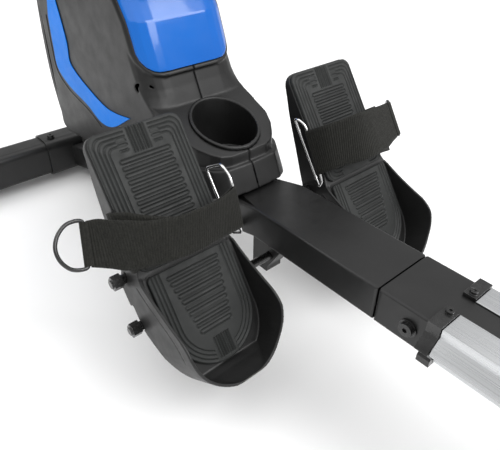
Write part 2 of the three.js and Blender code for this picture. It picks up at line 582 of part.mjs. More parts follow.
add('console_case', lean(consoleCase().subtract(rodY(undo[0], undo[1], 4.3, -40, 40, 20))), BLACK_PLASTIC);
add('console_lens', lean(box(12.3, 15, -71.6, 71.6, -17.6, 43.6)), LENS);
[['button_mode', -50], ['button_set', 0], ['button_reset', 50]].forEach(([name, y]) => {
  add(name, lean(rodX(y, -38, 8, 8, 18, 24)), BLACK_PLASTIC);
});

// ---- handle rest, pull strap, handle and grips ----
const restTop = HANDLE.z - 12.5 - 0.6;
add('handle_rest', alongY(plate([
  [-424.6, 217.6], [-398, 250], [-391, 256], [-391, restTop], [-453.4, restTop], [-453.4, 257.4],
].reverse()), -38, 38).subtract(box(-470, -380, -19, 19, 240, 290)), BLACK_PLASTIC);
const strapX = SPOOL.x - 22.4;
add('pull_strap', alongY(plate([
  [HANDLE.x - 26.3, HANDLE.z - 10], [strapX, HANDLE.z - 10], [strapX, SPOOL.z], [strapX - 2.4, SPOOL.z],
  [strapX - 2.4, HANDLE.z - 7.6], [HANDLE.x - 26.3, HANDLE.z - 7.6],
].reverse()), -11, 11), WEBBING);
const handlePath = (end) => [
  [HANDLE.x - 12, -end, HANDLE.z - 6], [HANDLE.x - 8, -150, HANDLE.z - 2],
  [HANDLE.x - 2, -90, HANDLE.z], [HANDLE.x, -40, HANDLE.z], [HANDLE.x, 40, HANDLE.z],
  [HANDLE.x - 2, 90, HANDLE.z], [HANDLE.x - 8, 150, HANDLE.z - 2],
  [HANDLE.x - 12, end, HANDLE.z - 6],
];
add('handle_bar', joined([
  tubePath(handlePath(HANDLE.half), 12.5, 14),
  box(HANDLE.x - 26, HANDLE.x - 4, -17, 17, HANDLE.z - 18, HANDLE.z - 4),
]), BLACK_PAINT);
const gripCore = tubePath(handlePath(HANDLE.half), 12.9, 14);
const gripSkin = tubePath(handlePath(HANDLE.half + 3.5), 16.5, 14);
[-1, 1].forEach((s) => {
  const grip = gripSkin.subtract(gripCore).trimByPlane([0, s, 0], 108);
  add('handle_grip_' + sideName(s), grip, FOAM);
});

// ---- rail: black tube, aluminium running profiles, clamps and screws ----
function railBeam() {
  const outer = box(1, RAIL_END, -TUBE_W / 2, TUBE_W / 2, -TUBE_H, 0);
  const inner = box(-1, RAIL_END - 12, -TUBE_W / 2 + WALL, TUBE_W / 2 - WALL, -TUBE_H + WALL, -WALL);
  const mouth = box(-1, 74, -TUBE_W / 2 + WALL, TUBE_W / 2 - WALL, -TUBE_H - 1, -TUBE_H + WALL + 1);
  const knuckles = [-38.5, 0, 38.5].map((y) => joined([
    rodY(FOLD.x, FOLD.z, FOLD.knuckle, y - 6, y + 6, 20),
    box(FOLD.x - 2, FOLD.x + 2.5, y - 6, y + 6, FOLD.z, -1),
  ]));
  const vent = rodX(0, -23, 5, RAIL_END - 20, RAIL_END + 1, 20);
  let solid = joined([outer.subtract(inner).subtract(mouth), ...knuckles]).subtract(vent);
  solid = solid.subtract(rodY(FOLD.x, FOLD.z, FOLD.pin + GAP, -43, 43, 20));
  solid = solid.subtract(rodY(43, -24, 4.3, -60, -40, 20));
  solid = solid.subtract(rodY(LOCK.x, LOCK.z, 5.3, 40, 60, 20));
  return solid;
}
add('rail_beam', railBeam(), BLACK_PAINT);
add('fold_hinge_pin', rodY(FOLD.x, FOLD.z, FOLD.pin, -42.7, 42.7, 20), STEEL);
add('fold_bolt', joined([
  rodY(43, -24, 10.5, -46.9, -45.3, 32), rodY(43, -24, 8, -51.5, -46.8, 32), rodY(43, -24, 4, -47, -40, 20),
]).subtract(rodY(43, -24, 3, -52, -48.8, 6)), DARK_STEEL);
add('fold_lock_knob', joined([
  rodY(LOCK.x, LOCK.z, 5, 37, 52, 24),
  rodY(LOCK.x, LOCK.z, 10.5, 45.4, 48.5, 24),
  rodY(LOCK.x, LOCK.z, 7, 48, 52, 24),
  rodY(LOCK.x, LOCK.z, 11, 51.5, 61, 10),
]), BLACK_PLASTIC);
const profileSection = plate([
  [14.5, 0.3], [45.3, 0.3], [45.3, -42], [47.8, -42], [47.8, -38.7], [60.3, -24.4], [57.7, -18.3],
  [46.9, -8.6], [46.9, 2], [14.5, 2],
].reverse());
[-1, 1].forEach((s) => {
  const profile = alongX(profileSection, PROFILE.x0 + 15.5, PROFILE.x1);
  add('rail_profile_' + sideName(s), s > 0 ? profile : flipY(profile), ALUMINIUM);
  const clampSection = plate([
    [14.9, 0.3], [45.3, 0.3], [45.3, -46.4], [40, -46.4], [40, -49.4], [52.3, -49.4], [52.3, -41.3],
    [50, -39], [62.3, -25], [59.6, -18.8], [48.8, -9.5], [48.8, 4.5], [14.9, 4.5],
  ].reverse());
  const x = PROFILE.x0;
  const screw = rodZ(x + 8, 22.5, 4.6, 4.4, 7.8, 24).subtract(rodZ(x + 8, 22.5, 2, 5.8, 9, 6));
  const clamp = alongX(clampSection, x, x + 15).add(screw);
  add('front_clamp_' + sideName(s), s > 0 ? clamp : flipY(clamp), DARK_STEEL);
});
const endCap = alongX(rect(112, 64, 8), RAIL_END + GAP, RAIL_END + 8).translate([0, 0, -21]);
add('rail_end_cap', endCap, BLACK_PLASTIC);

// ---- rear leg with its cross tube and feet ----
const LEG = { x: 985, top: -TUBE_H - GAP, foot: -167 };
function rearLeg() {
  const post = box(LEG.x - 25, LEG.x + 25, -30, 30, LEG.foot - 6, LEG.top);
  const inner = box(LEG.x - 22, LEG.x + 22, -27, 27, LEG.foot, LEG.top + 1);
  const flange = box(LEG.x - 45, LEG.x + 45, -42, 42, LEG.top - 4, LEG.top);
  const outer = rect(50, 50, 12);
  const bore = rect(45, 45, 10);
  const cross = alongY(outer.subtract(bore), -220, 220).translate([LEG.x, 0, -173]);
  return joined([post, flange, cross]).subtract(inner.intersect(box(900, 1100, -26, 26, -140, 0)));
}
add('rear_leg', rearLeg(), BLACK_PAINT);
[-1, 1].forEach((s) => {
  const cap = joined([
    alongY(rect(56, 56, 14), -233, -205).translate([LEG.x, 0, -173]),
    box(LEG.x - 22, LEG.x + 22, -233, -205, -205, -190),
  ]).subtract(alongY(rect(50.8, 50.8, 12), -226, -200).translate([LEG.x, 0, -173]));
  add('rear_foot_' + sideName(s), sided(cap, s), RUBBER);
});

// ---- seat, carriage and rollers ----
function seatOutline(half, length) {
  const points = [];
  for (let i = 0; i < 40; i += 1) {
    const a = i * Math.PI / 20;
    const c = Math.cos(a);
    const n = Math.sin(a);
    points.push([
      SEAT.x + length / 2 * Math.sign(c) * Math.abs(c) ** 0.62,
      half * Math.sign(n) * Math.abs(n) ** 0.62,
    ]);
  }
  return plate(points);
}
add('seat_cushion', alongZ(seatOutline(SEAT.width / 2, SEAT.len), 54, 96), FOAM);
function carriage() {
  const pan = alongZ(seatOutline(SEAT.width / 2 - 6, SEAT.len - 12), 44, 54 - GAP);
  const web = box(SEAT.x - 95, SEAT.x + 95, -76, 76, 40, 44.7);
  const cheek = box(SEAT.x - 95, SEAT.x + 95, -76, -72, -34, 44.7);
  const axles = [-70, 70].map((x) => joined([
    rodY(SEAT.x + x, 17, 4, -80, 80, 20), rodY(SEAT.x + x, 17, 7, -80, -75.5, 20),
    rodY(SEAT.x + x, 17, 7, 75.5, 80, 20),
  ]));
  return joined([pan, web, cheek, flipY(cheek), ...axles]);
}
add('seat_carriage', carriage(), DARK_STEEL);
[['front', -70], ['rear', 70]].forEach(([word, x]) => {
  const rollers = joined([
    rodY(SEAT.x + x, 17, ROLLER, -46, -18, 24), rodY(SEAT.x + x, 17, ROLLER, 18, 46, 24),
    rodY(SEAT.x + x, 17, 6, -71.5, 71.5, 20),
  ]).subtract(rodY(SEAT.x + x, 17, 4.3, -80, 80, 20));
  add('seat_roller_' + word, rollers, BLACK_PLASTIC);
});

export default group;
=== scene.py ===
import json
import math

import bmesh
import bpy
import numpy as np
from mathutils import Matrix, Vector

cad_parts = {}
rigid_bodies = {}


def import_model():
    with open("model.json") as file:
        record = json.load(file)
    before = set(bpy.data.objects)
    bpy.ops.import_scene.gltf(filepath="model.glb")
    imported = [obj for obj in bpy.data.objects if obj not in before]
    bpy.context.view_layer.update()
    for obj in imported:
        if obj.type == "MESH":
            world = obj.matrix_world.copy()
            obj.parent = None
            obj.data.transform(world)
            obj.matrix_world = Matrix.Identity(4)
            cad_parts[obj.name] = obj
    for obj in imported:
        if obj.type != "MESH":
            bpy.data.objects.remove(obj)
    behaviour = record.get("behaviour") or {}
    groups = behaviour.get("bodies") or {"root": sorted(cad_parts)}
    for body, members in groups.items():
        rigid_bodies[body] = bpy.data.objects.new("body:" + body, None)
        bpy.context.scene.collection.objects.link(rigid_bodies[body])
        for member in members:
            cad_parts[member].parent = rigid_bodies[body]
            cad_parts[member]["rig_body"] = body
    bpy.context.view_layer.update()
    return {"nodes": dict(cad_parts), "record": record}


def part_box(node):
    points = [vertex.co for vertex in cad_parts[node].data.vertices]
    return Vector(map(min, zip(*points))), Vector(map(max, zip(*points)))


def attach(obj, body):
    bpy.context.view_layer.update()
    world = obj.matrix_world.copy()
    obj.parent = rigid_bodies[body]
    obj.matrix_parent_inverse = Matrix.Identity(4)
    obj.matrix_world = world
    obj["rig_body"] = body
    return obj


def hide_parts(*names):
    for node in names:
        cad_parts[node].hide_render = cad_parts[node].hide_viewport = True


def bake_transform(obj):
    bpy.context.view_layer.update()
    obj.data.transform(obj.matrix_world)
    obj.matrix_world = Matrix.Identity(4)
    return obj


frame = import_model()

MM = 0.001
SEAM_X = -82          # the seam on top of the main tube, where the drawing frame has its origin
BEAM_TOP = 205
SIDES = (("right", -1), ("left", 1))


def place(x, y, z):
    """A point of the drawing frame, in millimetres, as metres in the floor frame."""
    return Vector(((x + SEAM_X) * MM, y * MM, (z + BEAM_TOP) * MM))


# -------- camera
CAMERA_AT = (0.1425, -0.4243, 0.5857)
AZIMUTH, ELEVATION, ROLL = (math.radians(a) for a in (48.65, 35.60, 0.80))
LENS = 38.33


def make_camera():
    look = Vector((-math.sin(AZIMUTH) * math.cos(ELEVATION), math.cos(AZIMUTH) * math.cos(ELEVATION),
                   -math.sin(ELEVATION)))
    level = Vector((math.cos(AZIMUTH), math.sin(AZIMUTH), 0))
    lift = level.cross(look)
    right = level * math.cos(ROLL) + lift * math.sin(ROLL)
    up = lift * math.cos(ROLL) - level * math.sin(ROLL)
    data = bpy.data.cameras.new("camera")
    data.lens = LENS
    data.sensor_width = 36
    data.clip_start = 0.02
    data.clip_end = 60
    ob = bpy.data.objects.new("camera", data)
    bpy.context.scene.collection.objects.link(ob)
    matrix = Matrix.Identity(4)
    for i in range(3):
        matrix[i][0], matrix[i][1], matrix[i][2], matrix[i][3] = right[i], up[i], -look[i], CAMERA_AT[i]
    ob.matrix_world = matrix
    bpy.context.scene.camera = ob


make_camera()


# -------- materials
NOISE_LOW, NOISE_HIGH = 0.3, 0.7     # the middle part of a noise, where nearly all its values lie
NOISE_ROUGHNESS = 0.55
EVEN = (1, 1, 1)
BRUSHED = (0.01, 1, 1)               # a noise drawn out along the rail


class Shader:
    """One procedural material: a principled shader with a few noise layers in object space."""

    def __init__(self, name, metallic=0.0, coat=0.0, coat_rough=0.1, sheen=0.0, specular=0.5):
        self.material = bpy.data.materials.new(name)
        self.material.use_nodes = True
        self.nodes = self.material.node_tree.nodes
        self.links = self.material.node_tree.links
        self.bsdf = self.nodes["Principled BSDF"]
        settings = {"Metallic": metallic, "Coat Weight": coat, "Coat Roughness": coat_rough,
                    "Sheen Weight": sheen, "Specular IOR Level": specular, "IOR": 1.5}
        for socket, value in settings.items():
            self.bsdf.inputs[socket].default_value = value
        self.place = self.nodes.new("ShaderNodeTexCoord")
        self.normal = None

    def vector(self, stretch):
        mapping = self.nodes.new("ShaderNodeMapping")
        mapping.inputs["Scale"].default_value = stretch
        self.links.new(self.place.outputs["Object"], mapping.inputs["Vector"])
        return mapping.outputs["Vector"]

    def noise(self, scale, detail, stretch=EVEN):
        node = self.nodes.new("ShaderNodeTexNoise")
        node.inputs["Scale"].default_value = scale
        node.inputs["Detail"].default_value = detail
        node.inputs["Roughness"].default_value = NOISE_ROUGHNESS
        self.links.new(self.vector(stretch), node.inputs["Vector"])
        return node.outputs["Fac"]

    def cells(self, scale):
        node = self.nodes.new("ShaderNodeTexVoronoi")
        node.feature = "F1"
        node.inputs["Scale"].default_value = scale
        self.links.new(self.vector(EVEN), node.inputs["Vector"])
        return node.outputs["Distance"]

    def color(self, fac, dark, light, low=NOISE_LOW, high=NOISE_HIGH):
        ramp = self.nodes.new("ShaderNodeValToRGB")
        ramp.color_ramp.elements[0].position = low
        ramp.color_ramp.elements[0].color = (*dark, 1)
        ramp.color_ramp.elements[1].position = high
        ramp.color_ramp.elements[1].color = (*light, 1)
        self.links.new(fac, ramp.inputs["Fac"])
        self.links.new(ramp.outputs["Color"], self.bsdf.inputs["Base Color"])
        return self

    def rough(self, fac, low, high):
        span = self.nodes.new("ShaderNodeMapRange")
        span.inputs["From Min"].default_value = NOISE_LOW
        span.inputs["From Max"].default_value = NOISE_HIGH
        span.inputs["To Min"].default_value = low
        span.inputs["To Max"].default_value = high
        self.links.new(fac, span.inputs["Value"])
        self.links.new(span.outputs["Result"], self.bsdf.inputs["Roughness"])
        return self

    def bump(self, fac, distance, strength):
        node = self.nodes.new("ShaderNodeBump")
        node.inputs["Distance"].default_value = distance
        node.inputs["Strength"].default_value = strength
        self.links.new(fac, node.inputs["Height"])
        if self.normal is not None:
            self.links.new(self.normal, node.inputs["Normal"])
        self.normal = node.outputs["Normal"]
        self.links.new(self.normal, self.bsdf.inputs["Normal"])
        return self


def grey(v):
    return (v, v, v)


def satin_paint():
    s = Shader("satin_black_paint", coat=0.12, coat_rough=0.25, specular=0.4)
    s.color(s.noise(14, 4), grey(0.006), grey(0.010))
    s.rough(s.noise(60, 5), 0.34, 0.46)
    s.bump(s.noise(900, 2), 0.00006, 0.5)
    return s.bump(s.noise(2600, 2), 0.00003, 0.5)


def moulded_black():
    s = Shader("moulded_black_plastic", specular=0.38)
    s.color(s.noise(10, 4), grey(0.006), grey(0.010))
    s.rough(s.noise(45, 4), 0.36, 0.48)
    return s.bump(s.noise(1500, 3), 0.00005, 0.6)


def blue_gloss():
    s = Shader("blue_gloss_plastic", coat=0.45, coat_rough=0.04, specular=0.3)
    s.color(s.noise(6, 2), (0.0, 0.105, 0.46), (0.0, 0.125, 0.52))
    s.rough(s.noise(30, 3), 0.12, 0.2)
    return s.bump(s.noise(120, 1), 0.00003, 0.3)


def blue_satin():
    s = Shader("blue_satin_plastic", specular=0.22)
    s.color(s.noise(10, 3), (0.0, 0.17, 0.66), (0.0, 0.19, 0.74))
    s.rough(s.noise(60, 3), 0.42, 0.55)
    return s.bump(s.noise(1800, 2), 0.00003, 0.5)


def pedal_plastic():
    s = Shader("pedal_plastic", specular=0.4)
    s.color(s.noise(12, 5), grey(0.008), grey(0.014))
    s.rough(s.noise(50, 4), 0.38, 0.52)
    return s.bump(s.noise(1300, 3), 0.00006, 0.6)


def pad_rubber():
    s = Shader("pad_rubber", specular=0.35)
    s.color(s.noise(16, 5), (0.013, 0.0140, 0.0136), (0.022, 0.0235, 0.0228))
    s.rough(s.noise(70, 4), 0.52, 0.7)
    return s.bump(s.noise(1700, 3), 0.00008, 0.6)


def foot_rubber():
    s = Shader("foot_rubber", specular=0.3)
    s.color(s.noise(18, 4), grey(0.012), grey(0.022))
    s.rough(s.noise(80, 3), 0.62, 0.8)
    return s.bump(s.noise(1200, 3), 0.0001, 0.6)


def webbing():
    s = Shader("strap_webbing", sheen=0.06, specular=0.2)
    s.color(s.noise(700, 2), (0.006, 0.006, 0.005), (0.017, 0.017, 0.014), 0.35, 0.68)
    s.rough(s.noise(200, 3), 0.62, 0.85)
    s.bump(s.noise(2200, 2), 0.0002, 0.6)
    return s.bump(s.noise(700, 2), 0.0002, 0.5)


def aluminium():
    s = Shader("satin_aluminium", metallic=1.0)
    s.color(s.noise(500, 2, BRUSHED), (0.54, 0.55, 0.56), (0.60, 0.61, 0.62))
    s.rough(s.noise(900, 2, BRUSHED), 0.26, 0.32)
    return s.bump(s.noise(2500, 1, BRUSHED), 0.000006, 0.4)


def steel():
    s = Shader("zinc_steel", metallic=1.0)
    s.color(s.noise(40, 4), (0.42, 0.43, 0.44), (0.56, 0.57, 0.58))
    s.rough(s.noise(120, 4), 0.26, 0.42)
    return s.bump(s.noise(1500, 2), 0.00003, 0.5)


def chrome():
    s = Shader("chrome_wire", metallic=1.0)
    s.color(s.noise(60, 2), (0.74, 0.74, 0.74), (0.84, 0.84, 0.84))
    s.rough(s.noise(200, 2), 0.06, 0.14)
    return s.bump(s.noise(900, 1), 0.00001, 0.4)


def dark_hardware():
    s = Shader("black_zinc", metallic=0.35, coat=0.3, coat_rough=0.15)
    s.color(s.noise(70, 4), grey(0.014), grey(0.028))
    s.rough(s.noise(160, 4), 0.2, 0.32)
    return s.bump(s.noise(1600, 2), 0.00004, 0.5)


def cast_iron():
    s = Shader("cast_iron", metallic=0.4)
    s.color(s.noise(50, 5), grey(0.07), grey(0.11))
    s.rough(s.noise(90, 4), 0.5, 0.65)
    return s.bump(s.noise(600, 4), 0.00015, 0.6)


def foam():
    s = Shader("closed_cell_foam", specular=0.25)
    s.color(s.noise(90, 4), grey(0.012), grey(0.022))
    s.rough(s.noise(120, 3), 0.78, 0.92)
    return s.bump(s.cells(1100), 0.0003, 0.6)


def vinyl():
    s = Shader("grained_vinyl", specular=0.4)
    s.color(s.noise(20, 4), grey(0.012), grey(0.02))
    s.rough(s.noise(60, 3), 0.38, 0.52)
    s.bump(s.cells(520), 0.0004, 0.5)
    return s.bump(s.noise(1500, 3), 0.0001, 0.5)


def lens():
    s = Shader("screen_lens", coat=0.6, coat_rough=0.05)
    s.color(s.noise(8, 2), (0.11, 0.14, 0.12), (0.14, 0.17, 0.15))
    return s.rough(s.noise(40, 2), 0.08, 0.14)


MATERIALS = {
    "frame_paint": satin_paint(), "dark_hardware": dark_hardware(), "body_plastic": moulded_black(),
    "blue_gloss": blue_gloss(), "blue_satin": blue_satin(), "pedal_plastic": pedal_plastic(),
    "rubber": foot_rubber(), "webbing": webbing(), "aluminium": aluminium(), "steel": steel(),
    "chrome": chrome(), "cast_iron": cast_iron(), "foam": foam(), "seat_cover": vinyl(),
    "screen_glass": lens(),
}
PAD = pad_rubber()
SLOT_OF = {row["node"]: row["material_slot"] for row in frame["record"]["subparts"]}


def finish_with(ob, slot_name, body=None, node=None, material=None):
    """Give a piece its slot, its material and a body to ride, which is that of the node it replaces."""
    ob.data.materials.clear()
    ob.data.materials.append((material or MATERIALS[slot_name]).material)
    if node:
        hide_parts(node)
        body = frame["nodes"][node]["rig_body"]
    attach(ob, body)
    return ob


for node_name, node_object in frame["nodes"].items():
    node_object.data.materials.clear()
    node_object.data.materials.append(MATERIALS[SLOT_OF[node_name]].material)


# -------- mesh helpers
def new_object(name, mesh):
    ob = bpy.data.objects.new(name, mesh)
    bpy.context.scene.collection.objects.link(ob)
    return ob


def apply_modifiers(ob):
    bpy.context.view_layer.update()
    depsgraph = bpy.context.evaluated_depsgraph_get()
    mesh = bpy.data.meshes.new_from_object(ob.evaluated_get(depsgraph))
    ob.modifiers.clear()
    old = ob.data
    ob.data = mesh
    bpy.data.meshes.remove(old)


def shade(ob, angle=40):
    ob.data.shade_smooth()
    ob.data.set_sharp_from_angle(angle=math.radians(angle))


def cleaned_copy(node):
    bm = bmesh.new()
    bm.from_mesh(frame["nodes"][node].data)
    bmesh.ops.remove_doubles(bm, verts=bm.verts, dist=2e-6)
    bmesh.ops.dissolve_limit(bm, angle_limit=math.radians(0.6), verts=bm.verts, edges=bm.edges)
    mesh = bpy.data.meshes.new("fine_" + node)
    bm.to_mesh(mesh)
    bm.free()
    return new_object("fine_" + node, mesh)


def weigh_normals(ob, weight):
    weigh = ob.modifiers.new("weigh", "WEIGHTED_NORMAL")
    weigh.keep_sharp = True
    weigh.weight = weight
    apply_modifiers(ob)


def voxel_remesh(ob, voxel, passes=0):
    """Remesh at a voxel size in millimetres and relax, so creases become moulded radii."""
    remesh = ob.modifiers.new("voxels", "REMESH")
    remesh.mode = "VOXEL"
    remesh.voxel_size = voxel * MM
    if passes:
        smooth = ob.modifiers.new("relax", "SMOOTH")
        smooth.factor = 0.5
        smooth.iterations = passes
    apply_modifiers(ob)


# the square tube, in the drawing frame: half width, end at the seam, and how wide the seam shows
BEAM_HALF = 45
BEAM_EDGE = 3.6
BEAM_END = -1.8
SEAM_CLOSE = 0.9
LONG_EDGE = 0.04
SEAM_GAP = 0.15


def along_beam(edge):
    """Whether an edge is one of the long outer corners of the square tube."""
    p, q = (v.co for v in edge.verts)
    return (abs(abs(p.y) - BEAM_HALF * MM) < 2e-4 and abs(p.y - q.y) < 1e-5
            and (p - q).length > LONG_EDGE)


def bevelled(node, width, angle=34, limit=40, beam=False):
    """The CAD solid with its edges broken. A beam has wide outer corners and a narrow seam at its end."""
    ob = cleaned_copy(node)
    bm = bmesh.new()
    bm.from_mesh(ob.data)
    for v in bm.verts:
        if beam and abs(v.co.x - place(BEAM_END, 0, 0).x) < 2e-5:
            v.co.x += SEAM_CLOSE * MM
    weight = bm.edges.layers.float.new("bevel_weight_edge")
    most = BEAM_EDGE if beam else width
    for edge in bm.edges:
        if len(edge.link_faces) == 2 and edge.calc_face_angle(0) > math.radians(angle):
            edge[weight] = 1.0 if beam and along_beam(edge) else width / most
    bm.to_mesh(ob.data)
    bm.free()
    bevel = ob.modifiers.new("edges", "BEVEL")
    bevel.width = most * MM
    bevel.segments = 4 if beam else 2
    bevel.limit_method = "WEIGHT"
    bevel.use_clamp_overlap = not beam
    apply_modifiers(ob)
    shade(ob, limit)
    weigh_normals(ob, 100)
    return finish_with(ob, SLOT_OF[node], node=node)


def moulded(node, voxel, passes, seam=0):
    """The CAD solid with moulded radii. Within seam of the mid-plane its faces are kept flat."""
    ob = cleaned_copy(node)
    voxel_remesh(ob, voxel, passes)
    for v in ob.data.vertices:
        if abs(v.co.y) < seam * MM:
            v.co.y = math.copysign(SEAM_GAP * MM, v.co.y)
    ob.data.shade_smooth()
    return finish_with(ob, SLOT_OF[node], node=node)


def mesh_object(name, verts, faces):
    mesh = bpy.data.meshes.new(name)
    mesh.from_pydata([tuple(v) for v in verts], [], faces)
    mesh.validate()
    return new_object(name, mesh)


def solid_object(name, verts, faces):
    """A closed mesh with all its faces turned outward."""
    ob = mesh_object(name, verts, faces)
    bm = bmesh.new()
    bm.from_mesh(ob.data)
    bmesh.ops.recalc_face_normals(bm, faces=bm.faces)
    bm.to_mesh(ob.data)
    bm.free()
    return ob


def capped_faces(count):
    """Faces of a prism whose lower ring of points comes first, then its upper ring."""
    faces = [tuple(range(count))[::-1], tuple(range(count, 2 * count))]
    return faces + [(i, (i + 1) % count, count + (i + 1) % count, count + i) for i in range(count)]


def grid_faces(rows, columns, closed=False):
    faces = []
    for i in range(rows - 1):
        for j in range(columns if closed else columns - 1):
            k = (j + 1) % columns
            faces.append((i * columns + j, i * columns + k, (i + 1) * columns + k, (i + 1) * columns + j))
    return faces


def catmull(points, per_span, closed=False):
    """Points of a centripetal Catmull-Rom curve through the given points."""
    pts = [np.array(p, float) for p in points]
    count = len(pts)
    result = []
    spans = count if closed else count - 1
    for i in range(spans):
        if closed:
            p0, p1, p2, p3 = (pts[(i + k) % count] for k in (-1, 0, 1, 2))
        else:
            p1, p2 = pts[i], pts[i + 1]
            p0 = pts[i - 1] if i else 2 * p1 - p2
            p3 = pts[i + 2] if i + 2 < count else 2 * p2 - p1
        knots = [0.0]
        for a, b in ((p0, p1), (p1, p2), (p2, p3)):
            knots.append(knots[-1] + max(np.linalg.norm(b - a), 1e-6) ** 0.5)
        t0, t1, t2, t3 = knots
        for k in range(per_span):
            t = t1 + (t2 - t1) * k / per_span
            a1 = (t1 - t) / (t1 - t0) * p0 + (t - t0) / (t1 - t0) * p1
            a2 = (t2 - t) / (t2 - t1) * p1 + (t - t1) / (t2 - t1) * p2
            a3 = (t3 - t) / (t3 - t2) * p2 + (t - t2) / (t3 - t2) * p3
            b1 = (t2 - t) / (t2 - t0) * a1 + (t - t0) / (t2 - t0) * a2
            b2 = (t3 - t) / (t3 - t1) * a2 + (t - t1) / (t3 - t1) * a3
            result.append((t2 - t) / (t2 - t1) * b1 + (t - t1) / (t2 - t1) * b2)
    if not closed:
        result.append(pts[-1])
    return result


def smooth_2d(points, per_span):
    return [(p[0], p[1]) for p in catmull([(*q, 0) for q in points], per_span)]


def rounded_loop(points, radius, steps=5):
    """A closed polyline whose corners are rounded by short curves."""
    result = []
    count = len(points)
    for i in range(count):
        before, here, after = points[i - 1], points[i], points[(i + 1) % count]
        a, b = before - here, after - here
        reach = min(radius, np.linalg.norm(a) * 0.45, np.linalg.norm(b) * 0.45)
        a, b = here + a / np.linalg.norm(a) * reach, here + b / np.linalg.norm(b) * reach
        for k in range(steps + 1):
            t = k / steps
            result.append((1 - t) ** 2 * a + 2 * t * (1 - t) * here + t * t * b)
    return result


def wire(name, points, radius, closed=True, around=14):
    """A round wire along a smooth path, in metres."""
    path = [Vector(p) for p in points]
    count = len(path)
    verts = []
    up = Vector((0.13, 0.21, 0.97)).normalized()
    for i in range(count):
        before = path[i - 1] if (closed or i) else path[i]
        after = path[(i + 1) % count] if (closed or i < count - 1) else path[i]
        along = (after - before).normalized()
        side = along.cross(up).normalized()
        up = side.cross(along).normalized()
        for k in range(around):
            a = 2 * math.pi * k / around
            verts.append(path[i] + side * (radius * math.cos(a)) + up * (radius * math.sin(a)))
    faces = grid_faces(count, around, True)
    if closed:
        # the frame turns a little on its way round, so the last ring is joined at the nearest start
        last = (count - 1) * around
        shift = min(range(around), key=lambda k: (verts[last] - verts[k]).length)
        for j in range(around):
            faces.append((last + j, last + (j + 1) % around, (j + 1 + shift) % around, (j + shift) % around))
    else:
        faces.append(tuple(range(around))[::-1])
        faces.append(tuple((count - 1) * around + k for k in range(around)))
    ob = solid_object(name, verts, faces)
    ob.data.shade_smooth()
    return ob


# -------- pedal frame
PEDAL_Y = 155.25
SHOE_HALF = 62.5
TOE = (-289, 115)
ROD_A = (-230, -40)
ROD_B = (-200, -94)
PEDAL_ANGLE = math.radians(54.8)


def on_pedal(s, y, n, side):
    """s runs down the sole from the toe, y across from the pedal's own middle, n out of the sole."""
    x = TOE[0] + s * math.cos(PEDAL_ANGLE) + n * math.sin(PEDAL_ANGLE)
    z = TOE[1] - s * math.sin(PEDAL_ANGLE) + n * math.cos(PEDAL_ANGLE)
    across = y - PEDAL_Y
    return place(x, across if side < 0 else -across, z)


def groove(distance, width):
    """1 on a groove's centre line, falling to 0 at its edges."""
    return np.clip(1.35 - np.abs(distance) / (width / 2), 0, 1) ** 0.6


def rounded_box_distance(x, y, cx, cy, hx, hy, r):
    qx = np.abs(x - cx) - (hx - r)
    qy = np.abs(y - cy) - (hy - r)
    return np.hypot(np.maximum(qx, 0), np.maximum(qy, 0)) + np.minimum(np.maximum(qx, qy), 0) - r


def heel_distance(s, y, start, end, half, r):
    """Signed distance to the heel pad's outline: straight at the front, a half ellipse at the back."""
    centre = end - half * 1.02
    back = np.hypot((s - centre) / 1.02, y) - half
    sides = np.abs(y) - half
    body = np.where(s > centre, back, sides)
    front = start - s
    both = np.maximum(body, front)
    corner = np.hypot(np.maximum(body + r, 0), np.maximum(front + r, 0)) - r
    return np.where((body > -r) & (front > -r), corner, both)


def slots(s, y, first, count, pitch, half, taper=0):
    """Elongated grooves across the sole, joined two by two at alternate ends."""
    depth = np.zeros_like(s)
    for i in range(count):
        at = first + i * pitch
        dx = np.maximum(np.abs(y) - (half - taper * i), 0)
        ring = np.abs(np.hypot(s - at, dx) - pitch * 0.27)
        depth = np.maximum(depth, groove(ring, 1.5))
    return depth


def ribs(s, y, s0, s1, half, count):
    """A patch of fine ribs that run along the sole."""
    inside = (s > s0) & (s < s1) & (np.abs(y) < half)
    wave = 0.5 - 0.5 * np.cos((y / half + 1) * math.pi * count)
    return np.where(inside, wave, 0)


def toe_relief(s, y):
    depth = np.zeros_like(s)
    for inset in (4.5, 9.5, 14.5, 19.5):
        ring = rounded_box_distance(s, y, 82, 0, 83.5 - inset, 60.8 - inset, 14 - inset * 0.35)
        open_end = (s > 132 - inset * 0.6) & (np.abs(y) < 30)
        depth = np.maximum(depth, np.where(open_end, 0, groove(ring, 1.9)))
    depth = np.where((np.abs(y) < 15.5) & (s < 34), 0, depth)
    depth = np.maximum(depth, ribs(s, y, -0.5, 30, 12.5, 7) * 1.3)
    depth = np.maximum(depth, slots(s, y, 36, 14, 8.3, 31))
    for sign in (-1, 1):
        for i in range(3):
            bar = rounded_box_distance(s, y * sign, 11 + i * 6.5, 22.5, 0.9, 5, 0.8)
            depth = np.maximum(depth, groove(bar, 1.7))
    return depth


def heel_relief(s, y):
    depth = np.zeros_like(s)
    for inset in (4.5, 9.5, 14.5):
        ring = heel_distance(s, y, 158, 298.5 - inset, 58.6 - inset, 8)
        depth = np.maximum(depth, groove(ring, 1.9))
    depth = np.where((np.abs(y) < 15.5) & (s > 262), 0, depth)
    depth = np.maximum(depth, ribs(s, y, 265, 293, 12, 7) * 1.3)
    return np.maximum(depth, slots(s, y, 178, 10, 8.3, 34, 1.5))


PAD_STEP = 0.8           # cell of the height field
PAD_BOTTOM, PAD_TOP = 0.35, 5.0
GROOVE_DEPTH = 1.35
EDGE_DROP, EDGE_RUN = 1.2, 1.6


